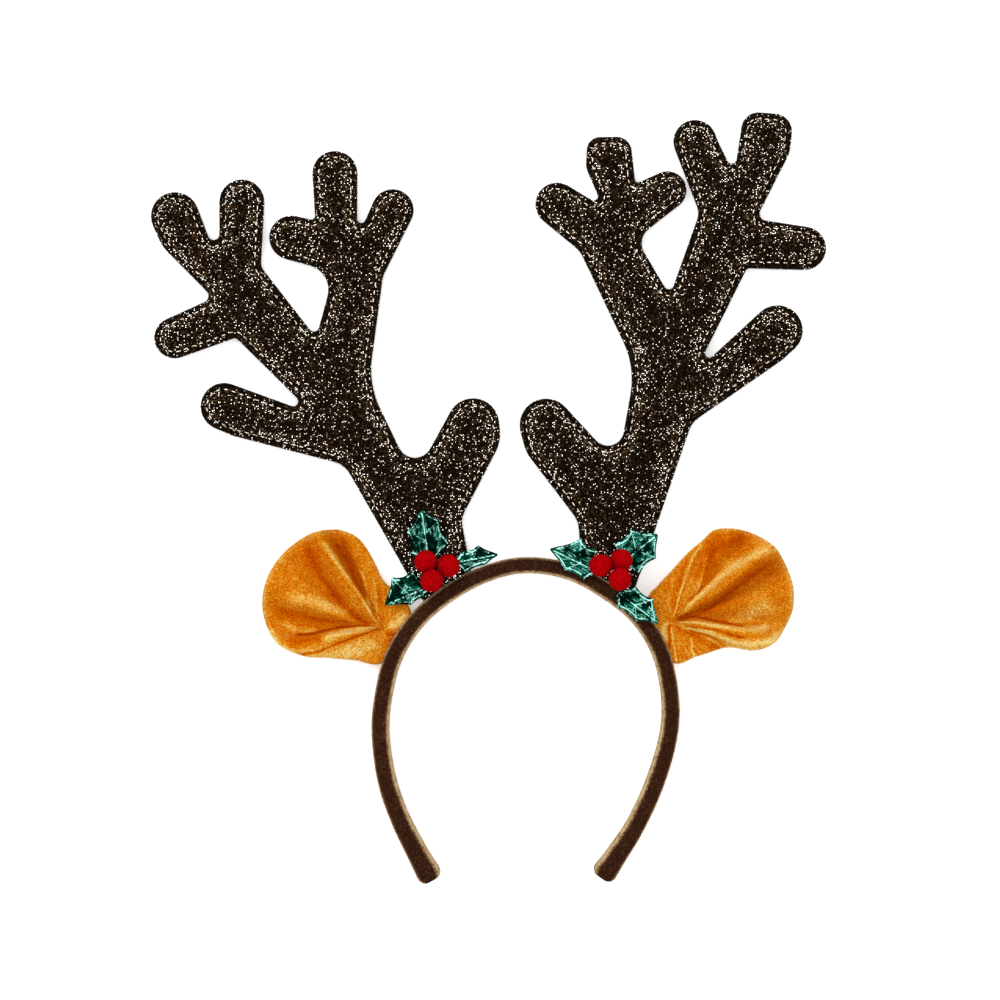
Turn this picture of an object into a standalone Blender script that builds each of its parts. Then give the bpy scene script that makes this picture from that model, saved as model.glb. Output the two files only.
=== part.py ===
"""Reindeer antler headband, lying on its back on a table.

Metres, +Z up. The table is the plane z = 0 and the antlers reach towards +Y. The origin lies on
the underside of the band, below the middle of its crown. Left and right are as seen from above.
"""

from math import asin, atan2, ceil, cos, hypot, pi, radians, sin, tau

import bpy
from mathutils import Vector
from mathutils.geometry import delaunay_2d_cdt

# Air between two pieces that touch
GAP = 0.0003

# Band: a strip padded and covered with velvet, bent into a U
BAND_SPREAD = 0.1334  # between the middles of the two arms, where they are widest apart
BAND_DEPTH = 0.1449  # from the middle of the crown to the tips
BAND_THICKNESS = 0.0070  # outside to inside, at the crown
BAND_WIDTH = 0.0115  # front to back
BAND_FLAT = 0.0016  # the flat on the front and on the back
BAND_SIDE_FLAT = 0.0036  # the flat on the outside and on the inside
TIP_ROUND = 0.0037  # rounding of the two tips

# Antlers: padded cloth with a flat seam border
LEFT_SPREAD = 0.1605  # the left antler, side to side
LEFT_HEIGHT = 0.1990  # the left antler, foot to top
RIGHT_SPREAD = 0.1410
RIGHT_HEIGHT = 0.2160
TINE_RADIUS = 0.0101  # half the width of a common tine
ANTLER_PADDING = 0.0074  # front to back in the middle of the padding
BORDER_THICKNESS = 0.0018  # front to back at the sewn border
BORDER_WIDTH = 0.0030  # from the outline to the seam
SHOULDER_WIDTH = 0.0058  # from the outline to where the padding is nearly full
PADDING_REACH = 0.0105  # from the outline to where the padding is full

# Ears: pleated velvet, gathered to a pinch beside the band
EAR_REACH = 0.0566  # from the pinch to the far edge
EAR_DEPTH = 0.0160  # from the table to the highest pleat
EAR_WALL = 0.0024
EAR_EDGE = 0.0014  # front to back at an ear's rounded edge
PLEAT_CURVE = 0.8  # below 1 a pleat rises steeply beside the pinch and flattens out
PINCH_HEIGHT = 0.0060  # from the table to the middle of the cloth at the pinch

# Holly: foil leaves and felt berries on the antlers' feet
LEAF_LENGTH = 0.0200
LEAF_REACH = 0.0090  # from the midrib to the point of a spine
LEAF_EDGE = 0.0006  # front to back at the edge
LEAF_PUFF = 0.0016  # front to back at the midrib
BERRY_RADIUS = 0.0051

# Mesh fineness
SPAN_STEPS = 3  # stretches of band between two rows of its table
CORNER_STEPS = 3  # facets of a corner of the band's section
TIP_TURNS = (30, 58, 80)  # degrees round a tip's rounding at which it has a section
ARC_STEP = radians(34)  # largest turn of an antler's outline in one facet
EDGE_STEP = 0.0110  # longest facet along an antler's outline
FULL_TURN = radians(342)  # a belt that would turn this far round a pulley only passes it
FILL_STEP = 0.0062  # between the points inside an antler
FILL_ROW = 0.0054  # between the rows of those points
EAR_STEPS = 44  # facets round an ear
EAR_RINGS = (0.12, 0.30, 0.50, 0.70, 0.87, 1.0)  # rings of an ear, as shares of its reach
ROW_STEPS = 8  # stretches of an ear's edge between two rows of its table
BERRY_SIDES = 12  # facets round a berry

# Middle line of the band from the left tip over the crown to the right tip.
# across: share of half BAND_SPREAD, down: share of BAND_DEPTH, thick: share of BAND_THICKNESS
BAND_LINE = [
    # across, down, thick
    (-0.672, 0.978, 1.55),
    (-0.752, 0.911, 1.36),
    (-0.869, 0.803, 1.25),
    (-0.959, 0.683, 1.20),
    (-1.003, 0.540, 1.12),
    (-0.986, 0.422, 1.12),
    (-0.910, 0.289, 1.12),
    (-0.738, 0.168, 1.09),
    (-0.483, 0.075, 1.05),
    (-0.234, 0.021, 1.02),
    (0.000, 0.000, 1.00),
    (0.283, 0.018, 1.02),
    (0.531, 0.075, 1.05),
    (0.772, 0.162, 1.09),
    (0.931, 0.283, 1.09),
    (0.995, 0.429, 1.12),
    (0.979, 0.549, 1.15),
    (0.890, 0.689, 1.20),
    (0.759, 0.822, 1.22),
    (0.614, 0.927, 1.38),
    (0.548, 0.971, 1.55),
]

# Outline of each antler, clockwise from one corner of its foot to the other: a belt that runs
# round the outside of each tip and through each fork.
# across: share of the antler's spread, up: share of its height, both from the middle of its foot
# round: share of TINE_RADIUS, positive round a tip, negative in a fork, 0 at a corner
LEFT_FOOT = (-0.0375, -0.0083)  # middle of the left antler's foot, from the origin
LEFT_ANTLER = [
    # across, up, round
    (-0.050, -0.058, 0.00),
    (-0.334, 0.224, -1.14),
    (-0.572, 0.424, 1.73),
    (-0.632, 0.408, 1.07),
    (-0.434, 0.420, -0.23),
    (-0.602, 0.557, -0.18),
    (-0.774, 0.567, 0.93),
    (-0.696, 0.664, -0.30),
    (-0.709, 0.834, 1.91),
    (-0.774, 0.849, 1.09),
    (-0.663, 0.807, -0.27),
    (-0.582, 0.882, 1.02),
    (-0.491, 0.741, -0.57),
    (-0.375, 0.594, -0.25),
    (-0.405, 0.679, -1.14),
    (-0.440, 0.799, 1.00),
    (-0.383, 0.850, -0.18),
    (-0.315, 0.948, 1.02),
    (-0.239, 0.843, -0.20),
    (-0.149, 0.863, 0.95),
    (-0.116, 0.695, -1.00),
    (0.050, 0.494, -4.14),
    (-0.085, 0.330, -0.80),
    (0.082, 0.367, 1.18),
    (0.050, 0.344, 1.73),
    (0.113, 0.141, -1.00),
    (0.079, 0.012, 0.00),
]
RIGHT_FOOT = (0.0370, -0.0076)  # middle of the right antler's foot, from the origin
RIGHT_ANTLER = [
    # across, up, round
    (-0.077, 0.010, 0.00),
    (-0.178, 0.108, -1.23),
    (-0.148, 0.312, 1.75),
    (-0.197, 0.333, 1.20),
    (0.005, 0.323, -0.73),
    (-0.200, 0.431, -3.95),
    (-0.161, 0.666, -1.30),
    (-0.161, 0.804, 0.98),
    (-0.041, 0.821, -0.20),
    (0.002, 0.891, 0.95),
    (-0.020, 0.919, 0.61),
    (0.034, 0.916, 0.68),
    (0.104, 0.858, -0.16),
    (0.200, 0.834, 0.86),
    (0.174, 0.721, -0.82),
    (0.204, 0.633, -0.23),
    (0.239, 0.785, -0.86),
    (0.290, 0.938, 0.98),
    (0.280, 0.919, 1.25),
    (0.410, 0.901, -0.23),
    (0.497, 0.964, 0.77),
    (0.549, 0.960, 0.80),
    (0.507, 0.932, 1.32),
    (0.523, 0.784, -0.32),
    (0.647, 0.710, 0.98),
    (0.467, 0.659, -0.18),
    (0.336, 0.486, -0.20),
    (0.559, 0.535, 1.14),
    (0.510, 0.523, 1.41),
    (0.344, 0.306, -1.09),
    (0.073, -0.052, 0.00),
]

# Ears, anticlockwise round the pinch.
# turn: degrees from +X, reach: share of EAR_REACH, rise: share of EAR_DEPTH at the edge
# sweep: degrees that the pleat turns on the way from the edge to the pinch
LEFT_PINCH = (-0.0653, -0.0297)
LEFT_EAR = [
    # turn, reach, rise, sweep
    (-96, 0.28, 0.36, 0),
    (-60, 0.20, 0.36, 0),
    (0, 0.20, 0.38, 0),
    (38, 0.27, 0.38, 0),
    (60, 0.29, 0.38, 0),
    (80, 0.34, 0.36, 0),
    (92, 0.41, 0.32, 0),
    (98, 0.54, 0.28, 0),
    (105, 0.76, 0.30, 0),
    (112, 0.88, 0.34, 0),
    (118, 0.93, 0.14, 2),
    (124, 0.97, 0.92, 4),
    (134, 1.01, 0.18, 22),
    (147, 1.04, 0.48, 14),
    (159, 1.04, 0.72, 6),
    (170, 1.00, 0.30, 2),
    (180, 0.94, 0.24, 0),
    (188, 0.85, 0.86, -4),
    (199, 0.66, 0.74, -6),
    (208, 0.48, 0.58, -4),
    (228, 0.33, 0.42, 0),
]
RIGHT_PINCH = (0.0672, -0.0253)
RIGHT_EAR = [
    # turn, reach, rise, sweep
    (-87, 0.35, 0.36, 0),
    (-56, 0.34, 0.36, 0),
    (-28, 0.47, 0.34, 0),
    (-20, 0.70, 0.74, 6),
    (-12, 0.86, 0.88, 10),
    (-4, 0.94, 0.24, 8),
    (5, 0.99, 0.40, 5),
    (16, 1.02, 0.62, 0),
    (28, 1.04, 0.14, -8),
    (37, 1.01, 0.90, -6),
    (46, 0.97, 0.26, -4),
    (57, 0.89, 0.50, -4),
    (65, 0.80, 0.26, 0),
    (71, 0.65, 0.36, 2),
    (88, 0.42, 0.34, 0),
    (110, 0.31, 0.38, 0),
    (130, 0.28, 0.38, 0),
    (170, 0.22, 0.38, 0),
    (230, 0.22, 0.36, 0),
]

# One leaf from root to tip. along: share of its length, reach: share of its spines' reach
LEAF_OUTLINE = [
    # along, reach
    (0.00, 0.22),
    (0.08, 0.64),
    (0.14, 1.00),
    (0.24, 0.70),
    (0.38, 0.58),
    (0.52, 0.68),
    (0.64, 0.96),
    (0.71, 0.58),
    (0.80, 0.36),
    (0.90, 0.22),
    (1.00, 0.04),
]
LEAF_COLUMNS = (-1.0, -0.55, 0.0, 0.55, 1.0)

# Leaves and berries, from the middle of each cluster. across, up: shares of LEAF_LENGTH
# turn: degrees from +X, lift: degrees up from the table, long: share of LEAF_LENGTH
# left, right: shares of LEAF_REACH, on: what the leaf's root lies on
LEFT_CLUSTER = (-0.0415, -0.0020)
LEFT_LEAVES = [
    # across, up, turn, lift, long, left, right, on
    (-0.15, 0.17, 98, 1.5, 1.22, 0.98, 1.06, "padding"),
    (-0.23, -0.43, 202, 4.0, 1.00, 0.64, 1.16, "shoulder"),
    (0.51, 0.17, 11, 8.0, 0.94, 0.64, 0.60, "shoulder"),
]
RIGHT_CLUSTER = (0.0412, -0.0007)
RIGHT_LEAVES = [
    # across, up, turn, lift, long, left, right, on
    (-0.50, -0.08, 154, 5.0, 1.13, 0.76, 1.06, "band"),
    (0.15, 0.10, 39, 3.0, 1.02, 1.04, 0.92, "padding"),
    (0.06, -0.59, -38, 4.0, 1.13, 0.78, 0.64, "band"),
]

# across, up, rise: shares of BERRY_RADIUS, rise from the lowest berry
LEFT_BERRIES = [
    # across, up, rise
    (-0.84, 0.74, 0.00),
    (1.20, 0.32, 0.00),
    (-0.30, -1.06, 0.90),
]
RIGHT_BERRIES = [
    # across, up, rise
    (-1.28, 0.08, 0.60),
    (0.58, 0.68, 0.00),
    (0.42, -1.10, 1.05),
]

# How much nearer to the table an antler lies at its top than at its foot
ANTLER_DROP = (BAND_WIDTH - ANTLER_PADDING) / 2


def material(name, colour, roughness, metallic=0.0):
    """A Principled material in one colour."""
    made = bpy.data.materials.new(name)
    made.use_nodes = True
    shader = made.node_tree.nodes["Principled BSDF"]
    shader.inputs["Base Color"].default_value = (*colour, 1.0)
    shader.inputs["Roughness"].default_value = roughness
    shader.inputs["Metallic"].default_value = metallic
    made.diffuse_color = (*colour, 1.0)
    return made


def piece(name, points, faces, look, sharp=40):
    """An object with its own material, from points and faces in the model's frame."""
    mesh = bpy.data.meshes.new(name)
    mesh.from_pydata(points, [], faces)
    mesh.validate()
    mesh.shade_smooth()
    mesh.set_sharp_from_angle(angle=radians(sharp))
    mesh.materials.append(look)
    made = bpy.data.objects.new(name, mesh)
    bpy.context.scene.collection.objects.link(made)
    return made


def smooth(rows, steps, closed=False):
    """A smooth curve through the rows, with that many stretches between two of them."""
    vectors = [Vector(row) for row in rows]
    last = len(vectors) - 1
    count = len(vectors) if closed else last
    curve = []
    for i in range(count):
        if closed:
            before, start, end, after = (vectors[(i + k) % len(vectors)] for k in (-1, 0, 1, 2))
        else:
            start, end = vectors[i], vectors[i + 1]
            before = vectors[i - 1] if i else start * 2 - end
            after = vectors[i + 2] if i < last - 1 else end * 2 - start
        for k in range(steps):
            t = k / steps
            lead, trail, rest = (end - before) / 2, (after - start) / 2, end - start
            bend = rest * 3 - lead * 2 - trail
            twist = lead + trail - rest * 2
            curve.append(start + lead * t + bend * t**2 + twist * t**3)
    if not closed:
        curve.append(vectors[-1])
    return curve


def band_section(thick, width):
    """Points round the band's section, as (outwards, up), with a flat on each of its four sides."""
    flat_out = min(BAND_FLAT, thick) / 2
    flat_up = min(BAND_SIDE_FLAT, width) / 2
    round_out = thick / 2 - flat_out
    round_up = width / 2 - flat_up
    points = []
    for corner in range(4):
        side_out = 1 if corner in (0, 3) else -1
        side_up = 1 if corner < 2 else -1
        for k in range(CORNER_STEPS + 1):
            angle = pi / 2 * (corner + k / CORNER_STEPS)
            out = side_out * flat_out + round_out * cos(angle)
            points.append((out, side_up * flat_up + round_up * sin(angle)))
    return points


def band_stations(grow=0.0):
    """Places along the band as (middle, outward direction, thickness, width), rounded at the tips."""
    rows = [(x * BAND_SPREAD / 2, -y * BAND_DEPTH, t * BAND_THICKNESS) for x, y, t in BAND_LINE]
    curve = smooth(rows, SPAN_STEPS)
    stations = []
    for i, here in enumerate(curve):
        ahead = curve[min(i + 1, len(curve) - 1)] - curve[max(i - 1, 0)]
        along = Vector((ahead.x, ahead.y)).normalized()
        stations.append((Vector((here.x, here.y)), along, here.z, BAND_WIDTH))

    def tip(station, direction):
        middle, along, thick, width = station
        rounded = []
        for angle in map(radians, TIP_TURNS):
            less = 2 * TIP_ROUND * (1 - cos(angle))
            place = middle + along * direction * (TIP_ROUND + grow) * sin(angle)
            rounded.append((place, along, thick - less, width - less))
        return rounded

    stations = tip(stations[0], -1)[::-1] + stations + tip(stations[-1], 1)
    return [(middle, along, thick + 2 * grow, width + 2 * grow) for middle, along, thick, width in stations]


def band_mesh(grow=0.0):
    """Points and faces of the band, or of the space that it takes up with some air round it."""
    points = []
    stations = band_stations(grow)
    for middle, along, thick, width in stations:
        outward = Vector((-along.y, along.x))
        for out, up in band_section(thick, width):
            flat = middle + outward * out
            points.append((flat.x, flat.y, BAND_WIDTH / 2 + up))
    sides = 4 * (CORNER_STEPS + 1)
    faces = []
    for i in range(len(stations) - 1):
        for k in range(sides):
            a, b = i * sides + k, i * sides + (k + 1) % sides
            faces.append((a, b, b + sides, a + sides))
    faces.append(tuple(range(sides))[::-1])
    faces.append(tuple(range(len(points) - sides, len(points))))
    return points, faces


def belt(pulleys, inset):
    """Outline of the belt round the pulleys, drawn in by an inset, as a list of points."""

    def right_of(heading):
        return Vector((sin(heading), -cos(heading)))

    count = len(pulleys)
    headings = []
    for i in range(count):
        (x, y, r), (x2, y2, r2) = pulleys[i], pulleys[(i + 1) % count]
        share = (r2 - r) / hypot(x2 - x, y2 - y)
        headings.append(atan2(y2 - y, x2 - x) + asin(max(-1.0, min(1.0, share))))
    outline = []
    for i, (x, y, r) in enumerate(pulleys):
        centre, radius = Vector((x, y)), r - inset
        start, end = headings[i - 1], headings[i]
        turn = (end - start) % tau if r < 0 else -((start - end) % tau)
        if abs(turn) > FULL_TURN:
            turn = 0.0
        if r >= 0 and radius <= 0:
            middle = right_of(start + turn / 2)
            outline.append(centre - middle * radius / cos(turn / 2))
            continue
        steps = max(1, ceil(abs(turn) / ARC_STEP), ceil(abs(turn * radius) / EDGE_STEP))
        for k in range(steps + 1):
            outline.append(centre - right_of(start + turn * k / steps) * radius)
    spaced = []
    for i, point in enumerate(outline):
        ahead = outline[(i + 1) % len(outline)]
        steps = max(1, ceil((ahead - point).length / EDGE_STEP))
        spaced += [point.lerp(ahead, k / steps) for k in range(steps) if (ahead - point).length > GAP]
    return spaced


def inside(point, outline):
    """Whether a point lies inside a closed outline."""
    crossings = False
    for i, end in enumerate(outline):
        start = outline[i - 1]
        if (start.y > point.y) != (end.y > point.y):
            at = start.x + (end.x - start.x) * (point.y - start.y) / (end.y - start.y)
            if at > point.x:
                crossings = not crossings
    return crossings


def depth(point, outline):
    """Distance from a point to a closed outline."""
    best = 1.0
    for i, end in enumerate(outline):
        start = outline[i - 1]
        span = end - start
        t = max(0.0, min(1.0, (point - start).dot(span) / span.length_squared))
        best = min(best, (start + span * t - point).length)
    return best


def half_padding(deep):
    """Half the thickness of an antler at a distance from its outline."""
    if deep <= BORDER_WIDTH:
        return BORDER_THICKNESS / 2
    share = min(1.0, (deep - BORDER_WIDTH) / (PADDING_REACH - BORDER_WIDTH))
    return BORDER_THICKNESS / 2 + (ANTLER_PADDING - BORDER_THICKNESS) / 2 * (1 - (1 - share) ** 2) ** 0.5


def front(place):
    """Height above the table of the front of the band, or of an antler at its foot."""
    depths = {"padding": PADDING_REACH, "shoulder": SHOULDER_WIDTH}
    return BAND_WIDTH if place == "band" else BAND_WIDTH / 2 + half_padding(depths[place])


def antler(name, foot, spread, height, table, look):
    """A padded antler with a flat border, its foot running in under the band's outside."""
    pulleys = [(foot[0] + x * spread, foot[1] + y * height, r * TINE_RADIUS) for x, y, r in table]
    rings = [belt(pulleys, inset) for inset in (0.0, BORDER_WIDTH, SHOULDER_WIDTH)]
    outline = rings[0]
    points, edges = [], []
    for ring in rings:
        first = len(points)
        points += ring
        edges += [(first + k, first + (k + 1) % len(ring)) for k in range(len(ring))]
    low = Vector((min(p.x for p in outline), min(p.y for p in outline)))
    high = Vector((max(p.x for p in outline), max(p.y for p in outline)))
    for row in range(ceil((high.y - low.y) / FILL_ROW)):
        for column in range(ceil((high.x - low.x) / FILL_STEP)):
            shift = 0.5 * (row % 2)
            place = low + Vector(((column + shift) * FILL_STEP, row * FILL_ROW))
            if inside(place, outline) and depth(place, outline) > SHOULDER_WIDTH + FILL_ROW / 2:
                points.append(place)
    flat, _, triangles, *_ = delaunay_2d_cdt(points, edges, [], 1, GAP / 10)

    top = foot[1] + height
    corners = []
    for side in (1, -1):
        for point in flat:
            share = max(0.0, min(1.0, (point.y - foot[1]) / (top - foot[1])))
            middle = BAND_WIDTH / 2 - ANTLER_DROP * share
            corners.append((point.x, point.y, middle + side * half_padding(depth(point, outline))))
    under = len(flat)
    faces = []
    uses = {}
    for a, b, c in triangles:
        faces.append((a, b, c))
        faces.append((under + a, under + c, under + b))
        for start, end in ((a, b), (b, c), (c, a)):
            uses[(start, end)] = True
    for start, end in uses:
        if (end, start) not in uses:
            faces.append((start, under + start, under + end, end))
    return piece(name, corners, faces, look)


def cut(target, cutter):
    """Takes the cutter's space out of the target."""
    difference = target.modifiers.new("clearance", "BOOLEAN")
    difference.operation = "DIFFERENCE"
    difference.solver = "EXACT"
    difference.object = cutter


def ear(name, pinch, table, look):
    """A pleated ear: a sheet in folds that fan out from its pinch, with a rounded edge."""
    turns = [row[0] for row in table]
    closed = smooth(table, ROW_STEPS, closed=True)

    def at(turn):
        while turn < turns[0]:
            turn += 360
        while turn >= turns[0] + 360:
            turn -= 360
        i = max(k for k, start in enumerate(turns) if start <= turn)
        end = turns[i + 1] if i + 1 < len(turns) else turns[0] + 360
        place = ROW_STEPS * (i + (turn - turns[i]) / (end - turns[i]))
        low = int(place)
        row = closed[low % len(closed)].lerp(closed[(low + 1) % len(closed)], place - low)
        return row[1], row[2], row[3]

    points = [(*pinch, PINCH_HEIGHT + EAR_WALL / 2), (*pinch, PINCH_HEIGHT - EAR_WALL / 2)]
    for share in EAR_RINGS:
        for k in range(EAR_STEPS):
            turn = turns[0] + 360 * k / EAR_STEPS
            reach, rise, sweep = at(turn)
            angle = radians(turn + sweep * (1 - share))
            far = reach * EAR_REACH * share
            edge = max(rise * EAR_DEPTH, EAR_WALL / 2 + GAP)
            middle = PINCH_HEIGHT + (edge - PINCH_HEIGHT) * share**PLEAT_CURVE
            x, y = pinch[0] + far * cos(angle), pinch[1] + far * sin(angle)
            half = EAR_EDGE / 2 if share == EAR_RINGS[-1] else EAR_WALL / 2
            points.append((x, y, middle + half))
            points.append((x, y, middle - half))

    def corner(ring, k, under):
        return 2 + 2 * (ring * EAR_STEPS + k % EAR_STEPS) + under

    faces = []
    outer = len(EAR_RINGS) - 1
    for k in range(EAR_STEPS):
        faces.append((0, corner(0, k, 0), corner(0, k + 1, 0)))
        faces.append((1, corner(0, k + 1, 1), corner(0, k, 1)))
        for ring in range(outer):
            a, b = corner(ring, k, 0), corner(ring, k + 1, 0)
            c, d = corner(ring + 1, k + 1, 0), corner(ring + 1, k, 0)
            faces.append((a, d, c, b))
            faces.append((a + 1, b + 1, c + 1, d + 1))
        a, b = corner(outer, k, 0), corner(outer, k + 1, 0)
        faces.append((a, a + 1, b + 1, b))
    return piece(name, points, faces, look, sharp=60)


def leaf(name, cluster, row, look):
    """A puffed foil leaf with spines, rising from its root to its tip."""
    across, up, turn, lift, long, left, right, on = row
    length = long * LEAF_LENGTH
    flat, steep = length * cos(radians(lift)), length * sin(radians(lift))
    angle = radians(turn)
    along = Vector((cos(angle), sin(angle)))
    side = Vector((-along.y, along.x))
    root = Vector(cluster) + Vector((across, up)) * LEAF_LENGTH
    points = []
    for under in (1, -1):
        for station, reach in LEAF_OUTLINE:
            for column in LEAF_COLUMNS:
                width = LEAF_REACH * reach * (left if column > 0 else right)
                place = root + along * station * flat + side * column * width
                puff = LEAF_EDGE + (LEAF_PUFF - LEAF_EDGE) * (1 - column**2)
                rise = front(on) + GAP + LEAF_PUFF / 2 + station * steep
                points.append((place.x, place.y, rise + under * puff / 2))
    columns, stations = len(LEAF_COLUMNS), len(LEAF_OUTLINE)
    below = columns * stations
    faces = []
    for i in range(stations - 1):
        for k in range(columns - 1):
            a, b = i * columns + k, i * columns + k + 1
            faces.append((a, a + columns, b + columns, b))
            faces.append((below + a, below + b, below + b + columns, below + a + columns))
        low, high = i * columns, (i + 1) * columns
        faces.append((low, below + low, below + high, high))
        low, high = low + columns - 1, high + columns - 1
        faces.append((low, high, below + high, below + low))
    for k in range(columns - 1):
        low, high = k, below - columns + k
        faces.append((low, low + 1, below + low + 1, below + low))
        faces.append((high, below + high, below + high + 1, high + 1))
    return piece(name, points, faces, look)


def berry(name, cluster, row, look):
    """A felt berry, resting on the roots of the leaves."""
    across, up, rise = (share * BERRY_RADIUS for share in row)
    seat = front("padding") + LEAF_PUFF + 2 * GAP
    bpy.ops.mesh.primitive_uv_sphere_add(segments=BERRY_SIDES, ring_count=BERRY_SIDES * 2 // 3, radius=BERRY_RADIUS)
    made = bpy.context.object
    made.name = name
    made.location = (cluster[0] + across, cluster[1] + up, seat + BERRY_RADIUS + rise)
    made.data.shade_smooth()
    made.data.materials.append(look)
    return made


def main():
    for old in list(bpy.data.objects):
        bpy.data.objects.remove(old, do_unlink=True)

    points, faces = band_mesh()
    piece("band", points, faces, material("brown_velvet", (0.070, 0.025, 0.010), 0.95))
    points, faces = band_mesh(GAP)
    cutter = piece("band_clearance", points, faces, material("clearance", (0.5, 0.5, 0.5), 0.5))
    cutter.hide_render = True
    cutter.display_type = "WIRE"

    antlers = [
        ("antler_left", LEFT_FOOT, LEFT_SPREAD, LEFT_HEIGHT, LEFT_ANTLER),
        ("antler_right", RIGHT_FOOT, RIGHT_SPREAD, RIGHT_HEIGHT, RIGHT_ANTLER),
    ]
    for name, *shape in antlers:
        look = material(f"glitter_cloth_{name}", (0.055, 0.036, 0.018), 0.6, 0.2)
        cut(antler(name, *shape, look), cutter)

    for name, pinch, table in (("ear_left", LEFT_PINCH, LEFT_EAR), ("ear_right", RIGHT_PINCH, RIGHT_EAR)):
        cut(ear(name, pinch, table, material(f"orange_velvet_{name}", (0.64, 0.22, 0.02), 0.9)), cutter)

    clusters = [
        ("left", LEFT_CLUSTER, LEFT_LEAVES, LEFT_BERRIES),
        ("right", RIGHT_CLUSTER, RIGHT_LEAVES, RIGHT_BERRIES),
    ]
    for side, cluster, leaves, berries in clusters:
        for number, row in enumerate(leaves, 1):
            name = f"leaf_{side}_{number}"
            leaf(name, cluster, row, material(f"green_foil_{name}", (0.02, 0.24, 0.13), 0.25, 0.9))
        for number, row in enumerate(berries, 1):
            name = f"berry_{side}_{number}"
            berry(name, cluster, row, material(f"red_felt_{name}", (0.60, 0.01, 0.01), 0.9))


main()
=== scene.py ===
"""Reindeer antler headband lying on a table: velvet, glitter cloth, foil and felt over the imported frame.

Metres, +Z up. The table is the plane z = 0 and the antlers reach towards +Y. Left and right are as
seen from above.
"""

from __future__ import annotations

import logging
from dataclasses import dataclass, field
from enum import Enum
from math import asin, atan2, ceil, cos, hypot, pi, radians, sin, tau
from typing import Any

import bpy
import numpy as np
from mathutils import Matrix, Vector
from mathutils.geometry import delaunay_2d_cdt


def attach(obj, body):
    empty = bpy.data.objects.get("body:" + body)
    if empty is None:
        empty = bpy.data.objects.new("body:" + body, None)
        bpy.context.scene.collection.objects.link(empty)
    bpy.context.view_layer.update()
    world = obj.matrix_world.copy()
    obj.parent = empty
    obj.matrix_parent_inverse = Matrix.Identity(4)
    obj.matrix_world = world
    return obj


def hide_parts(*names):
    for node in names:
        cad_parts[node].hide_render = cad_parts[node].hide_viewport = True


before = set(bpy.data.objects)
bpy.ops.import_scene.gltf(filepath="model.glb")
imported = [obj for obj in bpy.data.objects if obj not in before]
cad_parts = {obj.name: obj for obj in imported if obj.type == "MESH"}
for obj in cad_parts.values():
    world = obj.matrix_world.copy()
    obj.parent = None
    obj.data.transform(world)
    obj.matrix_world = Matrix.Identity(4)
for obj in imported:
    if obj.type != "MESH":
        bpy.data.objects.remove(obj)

log = logging.getLogger("headband")
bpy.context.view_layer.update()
MM = 0.001
GAP = 0.0003

# Places beside the band are shares of half its spread and of its depth, as in the part's source
BAND_SPREAD = 0.1334
BAND_DEPTH = 0.1449
BAND_WIDTH = 0.0115

# How strongly the studio lights what faces up
LIGHT = 1.5

Colour = tuple[float, float, float]
Point = tuple[float, float, float]


def srgb(red: int, green: int, blue: int) -> Colour:
    """The base colour that shows as given screen values under the studio's light.

    Args:
        red: red on the screen, 0 to 255, or more for a glint.
        green: green on the screen.
        blue: blue on the screen.

    Returns:
        The colour in linear light.
    """
    shares = (red / 255, green / 255, blue / 255)
    linear = (s / 12.92 if s <= 0.04045 else ((s + 0.055) / 1.055) ** 2.4 for s in shares)
    return tuple(s / LIGHT for s in linear)


def beside_band(across: float, down: float) -> Vector:
    """A place on the table, from shares of half the band's spread and of its depth."""
    return Vector((across * BAND_SPREAD / 2, -down * BAND_DEPTH))


def ramp(values: np.ndarray, start: float, width: float) -> np.ndarray:
    """0 up to a start, 1 past a width beyond it, and straight between."""
    return np.clip((values - start) / width, 0, 1)


def bell(values: np.ndarray, width: float) -> np.ndarray:
    """1 at zero, and falling off smoothly on both sides over a width."""
    return np.exp(-((values / width) ** 2))


class Wire:
    """A node's output that sums can be written on."""

    def __init__(self, nodes: "Nodes", socket: bpy.types.NodeSocket) -> None:
        """Keeps the socket and the tree that it is in."""
        self.nodes = nodes
        self.socket = socket

    def __add__(self, other: "Wire | float") -> "Wire":
        """This plus the other."""
        return self.nodes.maths("ADD", self, other)

    def __sub__(self, other: "Wire | float") -> "Wire":
        """This less the other."""
        return self.nodes.maths("SUBTRACT", self, other)

    def __rsub__(self, other: float) -> "Wire":
        """The number less this."""
        return self.nodes.maths("SUBTRACT", other, self)

    def __mul__(self, other: "Wire | float") -> "Wire":
        """This times the other."""
        return self.nodes.maths("MULTIPLY", self, other)

    def __truediv__(self, other: "Wire | float") -> "Wire":
        """This over the other."""
        return self.nodes.maths("DIVIDE", self, other)

    __radd__ = __add__
    __rmul__ = __mul__

    def over(self, other: "Wire | float") -> "Wire":
        """The larger of this and the other."""
        return self.nodes.maths("MAXIMUM", self, other)

    def clamped(self) -> "Wire":
        """This, kept from 0 to 1."""
        return self.nodes.maths("MINIMUM", self.over(0.0), 1.0)

    def step(self, low: float, high: float) -> "Wire":
        """A smooth step, which falls instead if low is above high.

        Args:
            low: where the step is 0.
            high: where it is 1.

        Returns:
            The step.
        """
        settings = {"interpolation_type": "SMOOTHSTEP"}
        values = {"Value": self, "From Min": min(low, high), "From Max": max(low, high)}
        values |= {"To Min": float(low > high), "To Max": float(low < high)}
        return self.nodes.node("ShaderNodeMapRange", settings, values)


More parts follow.
